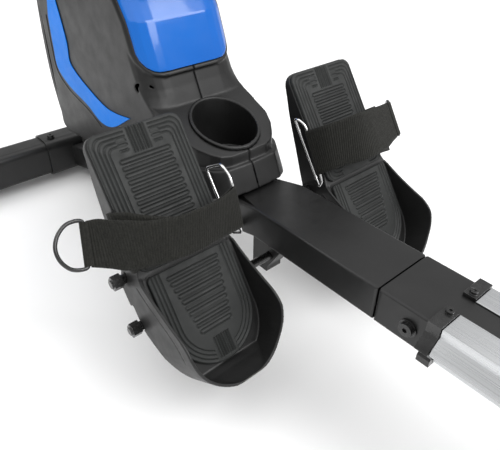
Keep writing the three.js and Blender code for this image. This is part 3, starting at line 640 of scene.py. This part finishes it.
def pad(node, side, outline, relief, s_range, half):
    """A sole pad as a fine height field: grooves are real relief, the rim is turned down at its edge."""
    step = PAD_STEP
    s = np.arange(s_range[0] - step, s_range[1] + step, step)
    y = np.arange(-half - step, half + step, step)
    grid_s, grid_y = np.meshgrid(s, y, indexing="ij")
    distance = outline(grid_s, grid_y)
    # points just outside the outline are drawn in onto it
    for _ in range(3):
        gs, gy = np.gradient(distance, step)
        near = (distance > 0) & (distance < 1.6 * step)
        grid_s = np.where(near, grid_s - gs * distance, grid_s)
        grid_y = np.where(near, grid_y - gy * distance, grid_y)
        distance = np.where(near, outline(grid_s, grid_y), distance)
    keep = distance < 0.15
    top = PAD_TOP - GROOVE_DEPTH * relief(grid_s, grid_y)
    top = top - EDGE_DROP * np.clip(1 + distance / EDGE_RUN, 0, 1) ** 2
    quads = keep[:-1, :-1] & keep[1:, :-1] & keep[:-1, 1:] & keep[1:, 1:]
    used = np.zeros_like(keep)
    for rows in (slice(None, -1), slice(1, None)):
        for columns in (slice(None, -1), slice(1, None)):
            used[rows, columns] |= quads
    index = -np.ones(keep.shape, int)
    index[used] = np.arange(used.sum())
    verts = [on_pedal(grid_s[i, j], grid_y[i, j], top[i, j], side) for i, j in zip(*np.nonzero(used))]
    faces = [(index[i, j], index[i + 1, j], index[i + 1, j + 1], index[i, j + 1])
             for i, j in zip(*np.nonzero(quads))]
    ob = mesh_object("fine_" + node, verts, faces)
    bm = bmesh.new()
    bm.from_mesh(ob.data)
    normal = (on_pedal(0, 0, 1, side) - on_pedal(0, 0, 0, side)).normalized()
    border = [e for e in bm.edges if e.is_boundary]
    made = bmesh.ops.extrude_edge_only(bm, edges=border)
    origin = on_pedal(0, 0, PAD_BOTTOM, side)
    for v in (g for g in made["geom"] if isinstance(g, bmesh.types.BMVert)):
        v.co -= normal * (v.co - origin).dot(normal)
    rim = [e for e in bm.edges if e.is_boundary]
    bmesh.ops.contextual_create(bm, geom=rim)
    bmesh.ops.recalc_face_normals(bm, faces=bm.faces)
    bm.to_mesh(ob.data)
    bm.free()
    shade(ob, 50)
    return finish_with(ob, "rubber", node=node, material=PAD)


# -------- pedal footplate
HEEL_HALF = 68
ROD_R = 6
BOSS_R = 10
TOE_START = -3
CUT = 80                 # half size of a cutting block, more than any piece it cuts
SKIRT_UNDER = [(-3, -7), (20, -14), (48, -24), (103, -39), (142, -50), (166, -55), (196, -56), (222, -50),
               (244, -38.5), (262, -24), (280, -11), (297, -5)]
HEEL_BACK = [(306, 6), (314.5, 25), (320, 38)]
HEEL_RIM = [(317, 41), (298, 43), (276, 49.5), (257, 52.5), (240, 47.5), (225, 37), (204, 23),
            (184, 11), (168, 3)]
POCKET_SIDE = [(164, 0), (300, 0), (306, 12), (316.5, 40), (317, 62), (164, 62)]
UNDER_SIDE = [(6, -4), (6, -80), (320, -80), (320, -40), (264, -40), (240, -4)]
FLANK_LINE = [(172, -10), (190, -1), (210, 12), (228, 24), (246, 33), (262, 36), (284, 30), (300, 24)]
FLANK_DEPTH = 1.3
# plans of the plate, the heel pocket and the hollow below: half width, start, end, half heel, corner
PLATE_PLAN = (SHOE_HALF, TOE_START, 321.5, HEEL_HALF, 14)
POCKET_PLAN = (SHOE_HALF - 3.5, 164, 318, HEEL_HALF - 3.6, 3)
UNDER_PLAN = (58, 6, 308, 62, 8)
WEBS_AT = (60, 110, 260)


def foot_outline(half, start, end, heel_half, corner):
    """Plan of the foot: round toe corners, straight sides that flare a little to a round heel."""
    points = []
    for i in range(7):
        a = math.radians(90 * i / 6)
        points.append((start + corner - corner * math.cos(a), half - corner + corner * math.sin(a)))
    points += [(150, half), (159, half + (heel_half - half) * 0.5), (172, heel_half)]
    centre = end - heel_half
    for i in range(1, 32):
        a = math.radians(90 - 180 * i / 32)
        points.append((centre + heel_half * math.cos(a), heel_half * math.sin(a)))
    points += [(x, -y) for x, y in points[:10][::-1]]
    return points


def prism(points, lo, hi, axis):
    """A solid from a plan outline (axis n) or a side outline (axis y) in pedal coordinates."""
    def lift(p, t):
        return (p[0], p[1], t) if axis == "n" else (p[0], t, p[1])
    verts = [lift(p, lo) for p in points] + [lift(p, hi) for p in points]
    return solid_object("tool", verts, capped_faces(len(points)))


def rod_tool(s, n, radius, half):
    turn = [2 * math.pi * i / 32 for i in range(32)]
    return prism([(s + radius * math.cos(a), n + radius * math.sin(a)) for a in turn], -half, half, "y")


def block(s0, s1, y0, y1, n0, n1):
    return prism([(s0, n0), (s1, n0), (s1, n1), (s0, n1)], y0, y1, "y")


def combine(target, tools, operation):
    for tool in tools:
        cut = target.modifiers.new("cut", "BOOLEAN")
        cut.operation = operation
        cut.solver = "MANIFOLD"
        cut.object = tool
        apply_modifiers(target)
        bpy.data.objects.remove(tool)
    return target


def to_pedal_local(x, z):
    dx, dz = x - TOE[0], z - TOE[1]
    c, n = math.cos(PEDAL_ANGLE), math.sin(PEDAL_ANGLE)
    return dx * c - dz * n, dx * n + dz * c


def pedal_base(word, side):
    """A footplate with a heel cup, hollow below, with a boss for its axle and a notch for its stop rod."""
    skirt = smooth_2d(SKIRT_UNDER + HEEL_BACK, 5) + smooth_2d(HEEL_RIM, 5) + [(163, 0), (TOE_START, 0)]
    ob = prism(foot_outline(*PLATE_PLAN), -62, 60, "n")
    combine(ob, [prism(skirt, -CUT, CUT, "y")], "INTERSECT")
    pocket = prism(foot_outline(*POCKET_PLAN), 0, 60, "n")
    combine(pocket, [prism(POCKET_SIDE, -CUT, CUT, "y")], "INTERSECT")
    under = prism(foot_outline(*UNDER_PLAN), -CUT, -4, "n")
    combine(under, [prism(UNDER_SIDE, -CUT, CUT, "y")], "INTERSECT")
    combine(ob, [pocket, under], "DIFFERENCE")
    a, b = to_pedal_local(*ROD_A), to_pedal_local(*ROD_B)
    webs = [block(s, s + 3, -60, 60, -22, -2) for s in WEBS_AT]
    combine(ob, [rod_tool(*a, BOSS_R, 60)] + webs, "UNION")
    # a shallow line runs along each flank, under the rim of the heel cup
    trim = smooth_2d(FLANK_LINE, 5)
    line = trim + [(s + 0.8, n - 2.2) for s, n in trim[::-1]]
    inner = HEEL_HALF - FLANK_DEPTH
    combine(ob, [prism(line, inner, CUT, "y"), prism(line, -CUT, -inner, "y")], "DIFFERENCE")
    notch = block(b[0] - 26, b[0] + ROD_R + 0.6, -CUT, CUT, -90, b[1])
    combine(ob, [rod_tool(*a, ROD_R + 0.3, CUT), rod_tool(*b, ROD_R + 0.6, CUT), notch], "DIFFERENCE")
    for v in ob.data.vertices:
        v.co = on_pedal(v.co.x, v.co.y, v.co.z, side)
    if side > 0:
        ob.data.flip_normals()
    ob.name = ob.data.name = "fine_pedal_base_" + word
    voxel_remesh(ob, 1.0, 4)
    ob.data.shade_smooth()
    finish_with(ob, "pedal_plastic", node="pedal_base_" + word)


# -------- straps
# each strap edge is a row of [s, y, n] points from the fold at the inner ring out to the free tail
STRAP_THICK = 1.7
STRAP_GAP = 1.0
CHROME_R = 1.9
BLACK_R = 2.2
TOE_ANCHOR, HEEL_ANCHOR = 82, 154     # where the under layer's edges meet the pedal's outer face
RING_Y = -83
UNDER_POINTS = 7                      # how far along the top layer the under layer follows it
STRAP = {
    "right": {
        "toe": [[108, -84, 45], [111, -100, 53], [114, -125, 60], [113.5, -148, 62], [112, -174, 58],
                [104, -204, 46], [96, -220, 37], [89.5, -233, 29], [83, -243, 20], [80.5, -253, 12]],
        "heel": [[158, -84, 27], [158.5, -105, 30], [158, -130, 38], [158, -158, 46], [155, -192, 46],
                 [152.5, -212, 36], [149, -226, 29], [145.5, -237, 22], [137, -250, 15], [128, -266, 10]],
        "corners": [[75, -2], [78, 33], [87, 42], [165, 16], [163, -2]],
        "reach": (-7, -31, 5),
        "spread": 1.15,
    },
    "left": {
        "toe": [[79, -83, 9], [80.5, -93, 34], [82, -116, 53], [82, -138, 60], [83, -158, 58],
                [83.5, -180, 52], [84, -200, 46], [84, -214, 41], [84, -224, 37], [84, -233, 34]],
        "heel": [[143, -83, 3], [142.5, -93, 21], [144, -112, 34], [147, -134, 46], [147, -158, 50],
                 [146.5, -182, 45], [144, -200, 40], [141, -214, 36], [139, -226, 33], [137, -236, 30]],
        "corners": [[58, -4], [60, 2], [66, 7], [158, 0], [160, -6]],
        "reach": (-8, -16, -18),
        "spread": 1.02,
    },
}
FOLD_R = CHROME_R + STRAP_GAP / 2 + STRAP_THICK / 2


def edge_frame(edge, i):
    a, b = np.array(edge[max(i - 1, 0)], float), np.array(edge[min(i + 1, len(edge) - 1)], float)
    length = math.hypot(b[1] - a[1], b[2] - a[2])
    along = np.array([0, (b[1] - a[1]) / length, (b[2] - a[2]) / length])
    return along, np.array([0, -along[2], along[1]])


def fold_centre(edge):
    return np.array(edge[0], float) + edge_frame(edge, 0)[1] * FOLD_R


def strap_edge(edge, anchor):
    """Tail, top layer, fold at the ring, under layer and the end at the pedal's outer face."""
    along, into = edge_frame(edge, 0)
    centre = fold_centre(edge)
    turn = []
    for degrees in (36, 72, 108, 144):
        a = math.radians(degrees)
        turn.append(centre - into * FOLD_R * math.cos(a) - along * FOLD_R * math.sin(a))
    below = []
    for i, p in enumerate(edge[:UNDER_POINTS]):
        extra = max(i - 4, 0)
        q = np.array(p, float) + edge_frame(edge, i)[1] * (2 * FOLD_R + extra * 1.5)
        q[0] += (anchor - q[0]) * extra * 0.3
        below.append(q)
    outer = -PEDAL_Y - SHOE_HALF
    tail = [[anchor, outer - out, n] for out, n in ((9, 12), (8, 2), (4, -5), (1.6, -14))]
    return [np.array(p, float) for p in edge[::-1]] + turn + below + [np.array(p, float) for p in tail]


def webbing_strap(name, first, second, thick, to_frame, rib=3.1, relief=0.75):
    """A flat woven strap between two edges, with its cross ribs as real relief.

    Returns the strap, its greatest width, its length and its area on one side.
    """
    count = len(first)
    middle = [(first[i] + second[i]) / 2 for i in range(count)]
    lengths = np.array([0] + [np.linalg.norm(middle[i + 1] - middle[i]) for i in range(count - 1)]).cumsum()
    total = lengths[-1]
    samples = int(total / rib * 8)
    at = np.linspace(0, total, samples)
    a = np.stack([np.interp(at, lengths, [p[k] for p in first]) for k in range(3)], 1)
    b = np.stack([np.interp(at, lengths, [p[k] for p in second]) for k in range(3)], 1)
    width = np.linalg.norm(b - a, axis=1)
    along = np.gradient((a + b) / 2, axis=0)
    normal = np.cross(b - a, along)
    normal /= np.linalg.norm(normal, axis=1)[:, None]
    columns = 15
    shares = [k / (columns - 1) for k in range(columns)]
    ring = [(t, 1) for t in shares] + [(t, -1) for t in shares[::-1]]
    verts = []
    for i in range(samples):
        height = thick / 2 - relief * (1 - abs(math.sin(math.pi * at[i] / rib)) ** 0.6)
        for t, sign in ring:
            # the woven edges are a little thinner than the middle
            selvedge = 1 - 0.45 * (1 - min(min(t, 1 - t) / 0.06, 1))
            point = a[i] * (1 - t) + b[i] * t + normal[i] * (sign * height * selvedge)
            verts.append(to_frame(point))
    faces = grid_faces(samples, len(ring), True)
    faces.append(tuple(range(len(ring))))
    faces.append(tuple((samples - 1) * len(ring) + k for k in range(len(ring)))[::-1])
    ob = solid_object(name, verts, faces)
    ob.data.shade_smooth()
    area = float(((width[1:] + width[:-1]) / 2 * np.diff(at)).sum())
    return ob, float(width.max()), float(total), area


def foot_strap(word, side):
    shape = STRAP[word]
    toe_edge = catmull(strap_edge(shape["toe"], TOE_ANCHOR), 6)
    heel_edge = catmull(strap_edge(shape["heel"], HEEL_ANCHOR), 6)

    def to_frame(p):
        return on_pedal(p[0], p[1] + PEDAL_Y, p[2], side)

    node = "foot_strap_" + word
    ob, width, length, area = webbing_strap("fine_" + node, toe_edge, heel_edge, STRAP_THICK, to_frame)
    finish_with(ob, "webbing", node=node)
    ring = chrome_ring(word, to_frame)
    hem = tail_ring(word, to_frame)


def chrome_ring(word, to_frame):
    """The wire loop the strap folds round: a bar across the strap, and legs down to the pedal."""
    shape = STRAP[word]
    toe_centre, heel_centre = fold_centre(shape["toe"]), fold_centre(shape["heel"])
    bar = [toe_centre + (heel_centre - toe_centre) * t for t in (-0.12, -0.04, 0.15, 0.5, 0.85, 1.04, 1.12)]
    legs = [np.array([along, RING_Y, up], float) for along, up in shape["corners"]]
    start = [legs[0], legs[1], (legs[2] + bar[0]) / 2]
    path = rounded_loop(start + bar[1:-1] + [(legs[3] + bar[-1]) / 2, legs[4]], 6)
    ob = wire("fine_strap_ring_" + word, [to_frame(p) for p in path], CHROME_R * MM)
    return finish_with(ob, "chrome", node="strap_ring_" + word)


def tail_ring(word, to_frame):
    """The D-ring at the free end, with its hem. Returns the hem."""
    shape = STRAP[word]
    out = BLACK_R + STRAP_GAP + 0.4
    ends = []
    for edge in (shape["toe"], shape["heel"]):
        a, b = np.array(edge[-2], float), np.array(edge[-1], float)
        ends.append(b + (b - a) / np.linalg.norm(b - a) * out)
    p, q = ends
    middle = (p + q) / 2
    half_bar = (q - p) / 2
    reach = np.array(shape["reach"], float)
    loop = [p + (q - p) * t for t in (0, 0.25, 0.5, 0.75, 1)]
    for degrees in (30, 60, 90, 120, 150):
        t = math.radians(degrees)
        loop.append(middle + half_bar * shape["spread"] * math.cos(t) + reach * math.sin(t))
    path = catmull(loop, 8, True)
    ob = wire("fine_pull_ring_" + word, [to_frame(v) for v in path], BLACK_R * MM)
    finish_with(ob, "dark_hardware", node="pull_ring_" + word)
    return strap_hem(word, p, q, shape, to_frame)


HEM_INNER, HEM_OUTER = 0.25, 1.15     # the sleeve's two walls, outside the wire
HEM_TAIL = 3.4                        # how far its wedge runs back into the strap
HEM_FLAT = 0.86


def strap_hem(word, p, q, shape, to_frame):
    """The strap's end turned back over the straight bar of its D-ring: a hollow ribbed sleeve."""
    axis = (q - p) / np.linalg.norm(q - p)
    a, b = np.array(shape["toe"][-2], float), np.array(shape["toe"][-1], float)
    back = (a - b) / np.linalg.norm(a - b)
    back -= axis * back.dot(axis)
    back /= np.linalg.norm(back)
    up = np.cross(axis, back)
    around, along = 36, 15
    verts = []
    for wall in ("outer", "inner"):
        for i in range(along):
            t = 0.015 + 0.97 * i / (along - 1)
            middle = p + (q - p) * t
            for k in range(around):
                angle = 2 * math.pi * k / around
                tail = max(math.cos(angle), 0) ** 6 * HEM_TAIL
                rib = 0.28 * abs(math.sin(angle * 3.5)) ** 0.6
                r = (BLACK_R + HEM_OUTER + rib + tail) if wall == "outer" else BLACK_R + HEM_INNER
                flat = HEM_FLAT if wall == "outer" else 1.0
                outward = back * (r * math.cos(angle)) + up * (r * flat * math.sin(angle))
                verts.append(to_frame(middle + outward))
    faces = grid_faces(along, around, True)
    shift = along * around
    faces += [tuple(v + shift for v in face)[::-1] for face in grid_faces(along, around, True)]
    for end in (0, along - 1):
        for k in range(around):
            m = (k + 1) % around
            ring = (end * around + k, end * around + m, shift + end * around + m, shift + end * around + k)
            faces.append(ring if end else ring[::-1])
    ob = solid_object("strap_hem_" + word, verts, faces)
    shade(ob, 60)
    body = frame["nodes"]["foot_strap_" + word]["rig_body"]
    return finish_with(ob, "webbing", body=body)


# -------- build: pedals and straps
for word, side in SIDES:
    pedal_base(word, side)
    pad("toe_pad_" + word, side,
        lambda s, y: rounded_box_distance(s, y, 79.5, 0, 81, 60.8, 12.5),
        toe_relief, (-1.5, 160.5), 60.8)
    pad("heel_pad_" + word, side,
        lambda s, y: heel_distance(s, y, 166.5, 298.5, 58.6, 6),
        heel_relief, (166.5, 298.5), 58.6)
    foot_strap(word, side)

# -------- housing trim
STRIPE_LOWER = [(-668, 150), (-671, 100), (-670, 66), (-640, 45), (-571, 27), (-533, 12), (-497, 16),
                (-434, 52)]
STRIPE_UPPER = [(-434, 52), (-486, 45), (-517, 47), (-603, 78), (-615, 90), (-613, 120), (-628, 185),
                (-640, 235)]
TRIM_LINE = [(-679, 150), (-681, 98), (-677, 58), (-644, 35), (-574, 17), (-537, 2)]
FAIRING_OUTER = [(-656, 331), (-698, 273), (-721, 171), (-729, 70), (-727, 28), (-716, -24), (-710, -40)]
FAIRING_INNER = [(-706, -32), (-716, 28), (-718, 70), (-710, 171), (-688, 270), (-650, 320)]
FAIRING_HALF = 75
SIDE_Y = 80


def flat_piece(name, points, y0, y1, bevel_width):
    """A plate with broken edges, cut to an outline in the side plane, from y0 to y1 across the machine."""
    verts = [place(x, y0, z) for x, z in points] + [place(x, y1, z) for x, z in points]
    ob = solid_object(name, verts, capped_faces(len(points)))
    bevel = ob.modifiers.new("edges", "BEVEL")
    bevel.width = bevel_width * MM
    bevel.segments = 3
    bevel.limit_method = "ANGLE"
    bevel.angle_limit = math.radians(50)
    apply_modifiers(ob)
    shade(ob, 45)
    weigh_normals(ob, 50)
    return ob


def accent_stripe(word, side):
    outline = smooth_2d(STRIPE_LOWER, 6)[:-1] + smooth_2d(STRIPE_UPPER, 6)
    node = "accent_stripe_" + word
    ob = flat_piece("fine_" + node, outline, side * (SIDE_Y + 0.3), side * (SIDE_Y + 1.8), 0.6)
    finish_with(ob, "blue_satin", node=node)


def side_trim(word, side):
    """A fine raised line on the flank that follows the stripe."""
    path = [place(x, side * (SIDE_Y + 0.1), z) for x, z in smooth_2d(TRIM_LINE, 6)]
    ob = wire("trim_line_" + word, path, 0.8 * MM, closed=False, around=10)
    finish_with(ob, "body_plastic", body="base")


def front_fairing():
    """A raised strip down the front of the shell, a little narrower than the shell."""
    outline = smooth_2d(FAIRING_OUTER, 6) + smooth_2d(FAIRING_INNER, 6)
    ob = flat_piece("front_fairing", outline, -FAIRING_HALF, FAIRING_HALF, 2.5)
    finish_with(ob, "body_plastic", body="base")


# -------- build: housing and trim
front_fairing()
for word, side in SIDES:
    moulded("housing_" + word, 1.5, 5, 1.1)
    accent_stripe(word, side)
    side_trim(word, side)
moulded("top_cover", 1.3, 6)
moulded("cup_holder", 1.3, 3)

# -------- build: frame, rail and hardware
BEVELS = {
    "main_frame": 0.35, "rail_beam": 0.35, "rear_leg": 1.5, "console_post": 1.0, "handle_rest": 1.5,
    "pedal_axle": 0.8, "pedal_stop_rod": 0.8, "fold_bolt": 0.5, "fold_lock_knob": 1.5, "tension_knob": 1.5,
    "rail_end_cap": 3.0, "console_case": 3.0, "console_lens": 0.8, "button_mode": 0.8, "button_set": 0.8,
    "button_reset": 0.8, "flywheel": 1.0, "strap_spool": 0.8, "brake_arm": 0.8, "flywheel_axle": 0.6,
    "fold_hinge_pin": 0.3, "drive_belt": 0.4, "seat_roller_front": 1.0, "seat_roller_rear": 1.0,
    "seat_carriage": 0.8, "handle_bar": 0.8,
}
for word, side in SIDES:
    BEVELS.update({
        "front_stabilizer_" + word: 0.8, "front_foot_" + word: 1.5, "transport_wheel_" + word: 1.5,
        "rail_profile_" + word: 0.5, "front_clamp_" + word: 0.6, "rear_foot_" + word: 1.5,
        "handle_grip_" + word: 1.5,
    })
for node_name, bevel_width in BEVELS.items():
    if node_name.startswith("rail_profile"):
        bevelled(node_name, bevel_width, angle=12, limit=11)
    else:
        bevelled(node_name, bevel_width, beam=node_name in ("main_frame", "rail_beam"))


# -------- build: pull strap
PULL_THICK = 2.4
PULL_HALF = 0.011         # metres
PULL_TURN = ((0.012, 0), (0.0035, 0.0008), (0.0008, 0.0035), (0, 0.012))
PULL_END = 0.0005


def pull_strap():
    """The flat strap from the handle to the spool, with its free run drawn between base and handle."""
    lo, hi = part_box("pull_strap")
    top = hi.z - PULL_THICK / 2 * MM
    down = lo.x + PULL_THICK / 2 * MM
    turn = [(down + out, top - drop) for out, drop in PULL_TURN]
    path = [(hi.x - PULL_END, top)] + turn + [(down, lo.z + PULL_END)]
    smooth = catmull([(x, 0, z) for x, z in path], 6)
    first = [np.array([p[0], -PULL_HALF, p[2]]) / MM for p in smooth]
    second = [np.array([p[0], PULL_HALF, p[2]]) / MM for p in smooth]
    ob, width, length, area = webbing_strap("fine_pull_strap", first, second, PULL_THICK - 0.3,
                                            lambda p: Vector(p) * MM, rib=2.2, relief=0.25)
    ob.data.materials.append(MATERIALS["webbing"].material)
    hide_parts("pull_strap")
    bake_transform(ob)


pull_strap()


# -------- build: seat cushion
SEAT_SHRINK = (0.93, 0.94, 0.72, 1)   # the pad starts smaller than its space, and swells into it
SEAT_VOXEL = 6
SEAT_PRESSURE = 4
SEAT_FRAMES = 20
SEAT_CAP = 0.012                      # metres that a point may move
HOLLOW_DEPTH = 0.007


def seat_cushion():
    """A padded seat, inflated by cloth simulation, with two hollows where the sitter rests."""
    ob = cleaned_copy("seat_cushion")
    lo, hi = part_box("seat_cushion")
    centre = (lo + hi) / 2
    shrink = Matrix.Diagonal(SEAT_SHRINK)
    ob.data.transform(Matrix.Translation(centre) @ shrink @ Matrix.Translation(-centre))
    voxel_remesh(ob, SEAT_VOXEL)
    rest = np.array([v.co[:] for v in ob.data.vertices])
    cloth = ob.modifiers.new("cloth", "CLOTH")
    cloth.settings.use_pressure = True
    cloth.settings.uniform_pressure_force = SEAT_PRESSURE
    cloth.settings.effector_weights.gravity = 0
    cloth.point_cache.frame_start = 1
    cloth.point_cache.frame_end = SEAT_FRAMES
    for number in range(1, SEAT_FRAMES + 1):
        bpy.context.scene.frame_set(number)
    apply_modifiers(ob)
    bpy.context.scene.frame_set(1)
    now = np.array([v.co[:] for v in ob.data.vertices])
    shift = now - rest
    size = np.linalg.norm(shift, axis=1)
    shift *= (np.minimum(size, SEAT_CAP) / np.maximum(size, 1e-9))[:, None]
    now = rest + shift
    now[:, 2] = np.maximum(now[:, 2], lo.z + 0.0005)
    now[:, 2] = np.minimum(now[:, 2], hi.z + 0.004)
    # lengthwise and crosswise places as shares of the half sizes
    u = (now[:, 0] - centre.x) / 0.125
    v = (now[:, 1] - centre.y) / 0.15
    upper = np.clip((now[:, 2] - centre.z) / (hi.z - centre.z), 0, 1)
    hollow = np.exp(-((np.abs(v) - 0.42) / 0.3) ** 2 - ((u + 0.05) / 0.55) ** 2)
    now[:, 2] -= upper * HOLLOW_DEPTH * hollow
    ob.data.vertices.foreach_set("co", now.astype(np.float32).ravel())
    ob.data.update()
    subdivide = ob.modifiers.new("subdivide", "SUBSURF")
    subdivide.levels = subdivide.render_levels = 1
    apply_modifiers(ob)
    ob.data.shade_smooth()
    finish_with(ob, "seat_cover", node="seat_cushion")
    return ob


def seat_piping(cushion):
    """A sewn cord round the cushion, near the level of its widest outline."""
    lo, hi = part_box("seat_cushion")
    middle = (lo + hi) / 2
    level = lo.z + (hi.z - lo.z) * 0.42
    points = np.array([v.co[:] for v in cushion.data.vertices])
    band = points[np.abs(points[:, 2] - level) < 0.004]
    angle = np.arctan2(band[:, 1] - middle.y, band[:, 0] - middle.x)
    reach = np.hypot(band[:, 0] - middle.x, band[:, 1] - middle.y)
    count = 120
    turns = [-math.pi + 2 * math.pi * k / count for k in range(count)]
    radii = []
    for a in turns:
        near = np.abs((angle - a + math.pi) % (2 * math.pi) - math.pi) < 2.2 * math.pi / count
        radii.append(reach[near].max() if near.any() else np.nan)
    radii = np.array(radii)
    bad = np.isnan(radii)
    if bad.any():
        radii[bad] = np.interp(np.nonzero(bad)[0], np.nonzero(~bad)[0], radii[~bad])
    for _ in range(3):
        radii = (np.roll(radii, 1) + 2 * radii + np.roll(radii, -1)) / 4
    path = [Vector((middle.x + r * math.cos(a), middle.y + r * math.sin(a), level))
            for r, a in zip(radii, turns)]
    ob = wire("seat_piping", path, 1.8 * MM, around=10)
    body = frame["nodes"]["seat_cushion"]["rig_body"]
    finish_with(ob, "seat_cover", body=body)


seat_piping(seat_cushion())


# -------- build: console display
# the strokes of a zero, in a unit square, and the figures: text, left, bottom, width, height, thickness
ZERO = ((0, 1, 1, 1), (1, 1, 1, 0.5), (1, 0.5, 1, 0), (0, 0, 1, 0), (0, 0, 0, 0.5), (0, 0.5, 0, 1))
FIGURES = (
    ("00:00", -0.72, -0.02, 0.38, 0.7, 0.08),
    ("000", 0.28, 0.15, 0.24, 0.46, 0.055),
    ("0000", -0.72, -0.72, 0.23, 0.42, 0.055),
    ("000", 0.28, -0.72, 0.24, 0.42, 0.055),
)


def console_display():
    """Figures standing a hair's breadth proud of the lens. They all read zero."""
    lens_mesh = frame["nodes"]["console_lens"].data
    face = max(lens_mesh.polygons, key=lambda f: f.area * (f.normal.x > 0))
    normal = Vector(face.normal)
    corners = [v.co.copy() for v in lens_mesh.vertices if abs((v.co - face.center).dot(normal)) < 2e-4]
    across = Vector((0, 1, 0))
    up = normal.cross(across).normalized()
    widths = [c.dot(across) for c in corners]
    heights = [c.dot(up) for c in corners]
    half_w = (max(widths) - min(widths)) / 2
    half_h = (max(heights) - min(heights)) / 2
    centre = (across * (max(widths) + min(widths)) / 2 + up * (max(heights) + min(heights)) / 2
              + normal * corners[0].dot(normal))
    verts, faces = [], []

    def bar(x0, y0, x1, y1, thick):
        along = Vector((x1 - x0, y1 - y0)).normalized()
        side = Vector((-along.y, along.x)) * thick / 2
        inset = along * thick * 0.6
        a, b = Vector((x0, y0)) + inset, Vector((x1, y1)) - inset
        ring = [a - side, a - along * thick * 0.4, a + side, b + side, b + along * thick * 0.4, b - side]
        start = len(verts)
        for height in (0.05 * MM, 0.2 * MM):
            verts.extend(centre + across * p.x + up * p.y + normal * height for p in ring)
        faces.extend(tuple(start + k for k in face) for face in capped_faces(len(ring)))

    def figure(text, left, bottom, width, height, thick):
        for letter in text:
            if letter == ":":
                for share in (0.3, 0.7):
                    level = bottom + height * share
                    bar(left, level - thick, left, level + thick, thick * 1.3)
                left += width * 0.5
                continue
            for x0, y0, x1, y1 in ZERO:
                bar(left + x0 * width, bottom + y0 * height, left + x1 * width, bottom + y1 * height, thick)
            left += width * 1.5

    for text, left, *sizes in FIGURES:
        figure(text, half_w * left, *(half_h * size for size in sizes))
    ob = solid_object("console_figures", verts, faces)
    body = frame["nodes"]["console_lens"]["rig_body"]
    finish_with(ob, "body_plastic", body=body)


console_display()


# -------- floor and light
FLOOR_SPAN = 40.0
FLOOR_CELLS = 8


def floor():
    steps = [(i / FLOOR_CELLS - 0.5) * FLOOR_SPAN for i in range(FLOOR_CELLS + 1)]
    verts = [(x, y, 0) for x in steps for y in steps]
    ob = mesh_object("studio_floor", verts, grid_faces(len(steps), len(steps)))
    s = Shader("studio_white", specular=0.2)
    s.color(s.noise(3, 2), grey(0.94), grey(0.96))
    s.rough(s.noise(5, 2), 0.7, 0.8)
    ob.data.materials.append(s.material)


def area_light(name, at, aim, size, watts):
    data = bpy.data.lights.new(name, "AREA")
    data.shape = "RECTANGLE"
    data.size, data.size_y = size
    data.energy = watts
    ob = bpy.data.objects.new(name, data)
    ob.location = at
    ob.rotation_euler = (Vector(aim) - Vector(at)).to_track_quat("-Z", "Y").to_euler()
    bpy.context.scene.collection.objects.link(ob)


floor()
sun = bpy.data.lights.new("soft_sun", "SUN")
sun.energy = 1.75
sun.angle = math.radians(90)
sun_object = bpy.data.objects.new("soft_sun", sun)
sun_object.rotation_euler = Vector((-0.3, -0.1, -0.95)).to_track_quat("-Z", "Y").to_euler()
bpy.context.scene.collection.objects.link(sun_object)
area_light("softbox_rear", (1.5, 0.9, 2.0), (-0.25, 0, 0.2), (1.8, 1.2), 42)
area_light("softbox_front", (-1.6, -1.2, 1.6), (-0.25, 0, 0.2), (1.4, 1.0), 12)
world = bpy.data.worlds.new("studio_world")
bpy.context.scene.world = world
world.use_nodes = True
world.node_tree.nodes["Background"].inputs["Color"].default_value = (1, 1, 1, 1)
world.node_tree.nodes["Background"].inputs["Strength"].default_value = 0.6
bpy.context.scene.view_settings.view_transform = "Standard"
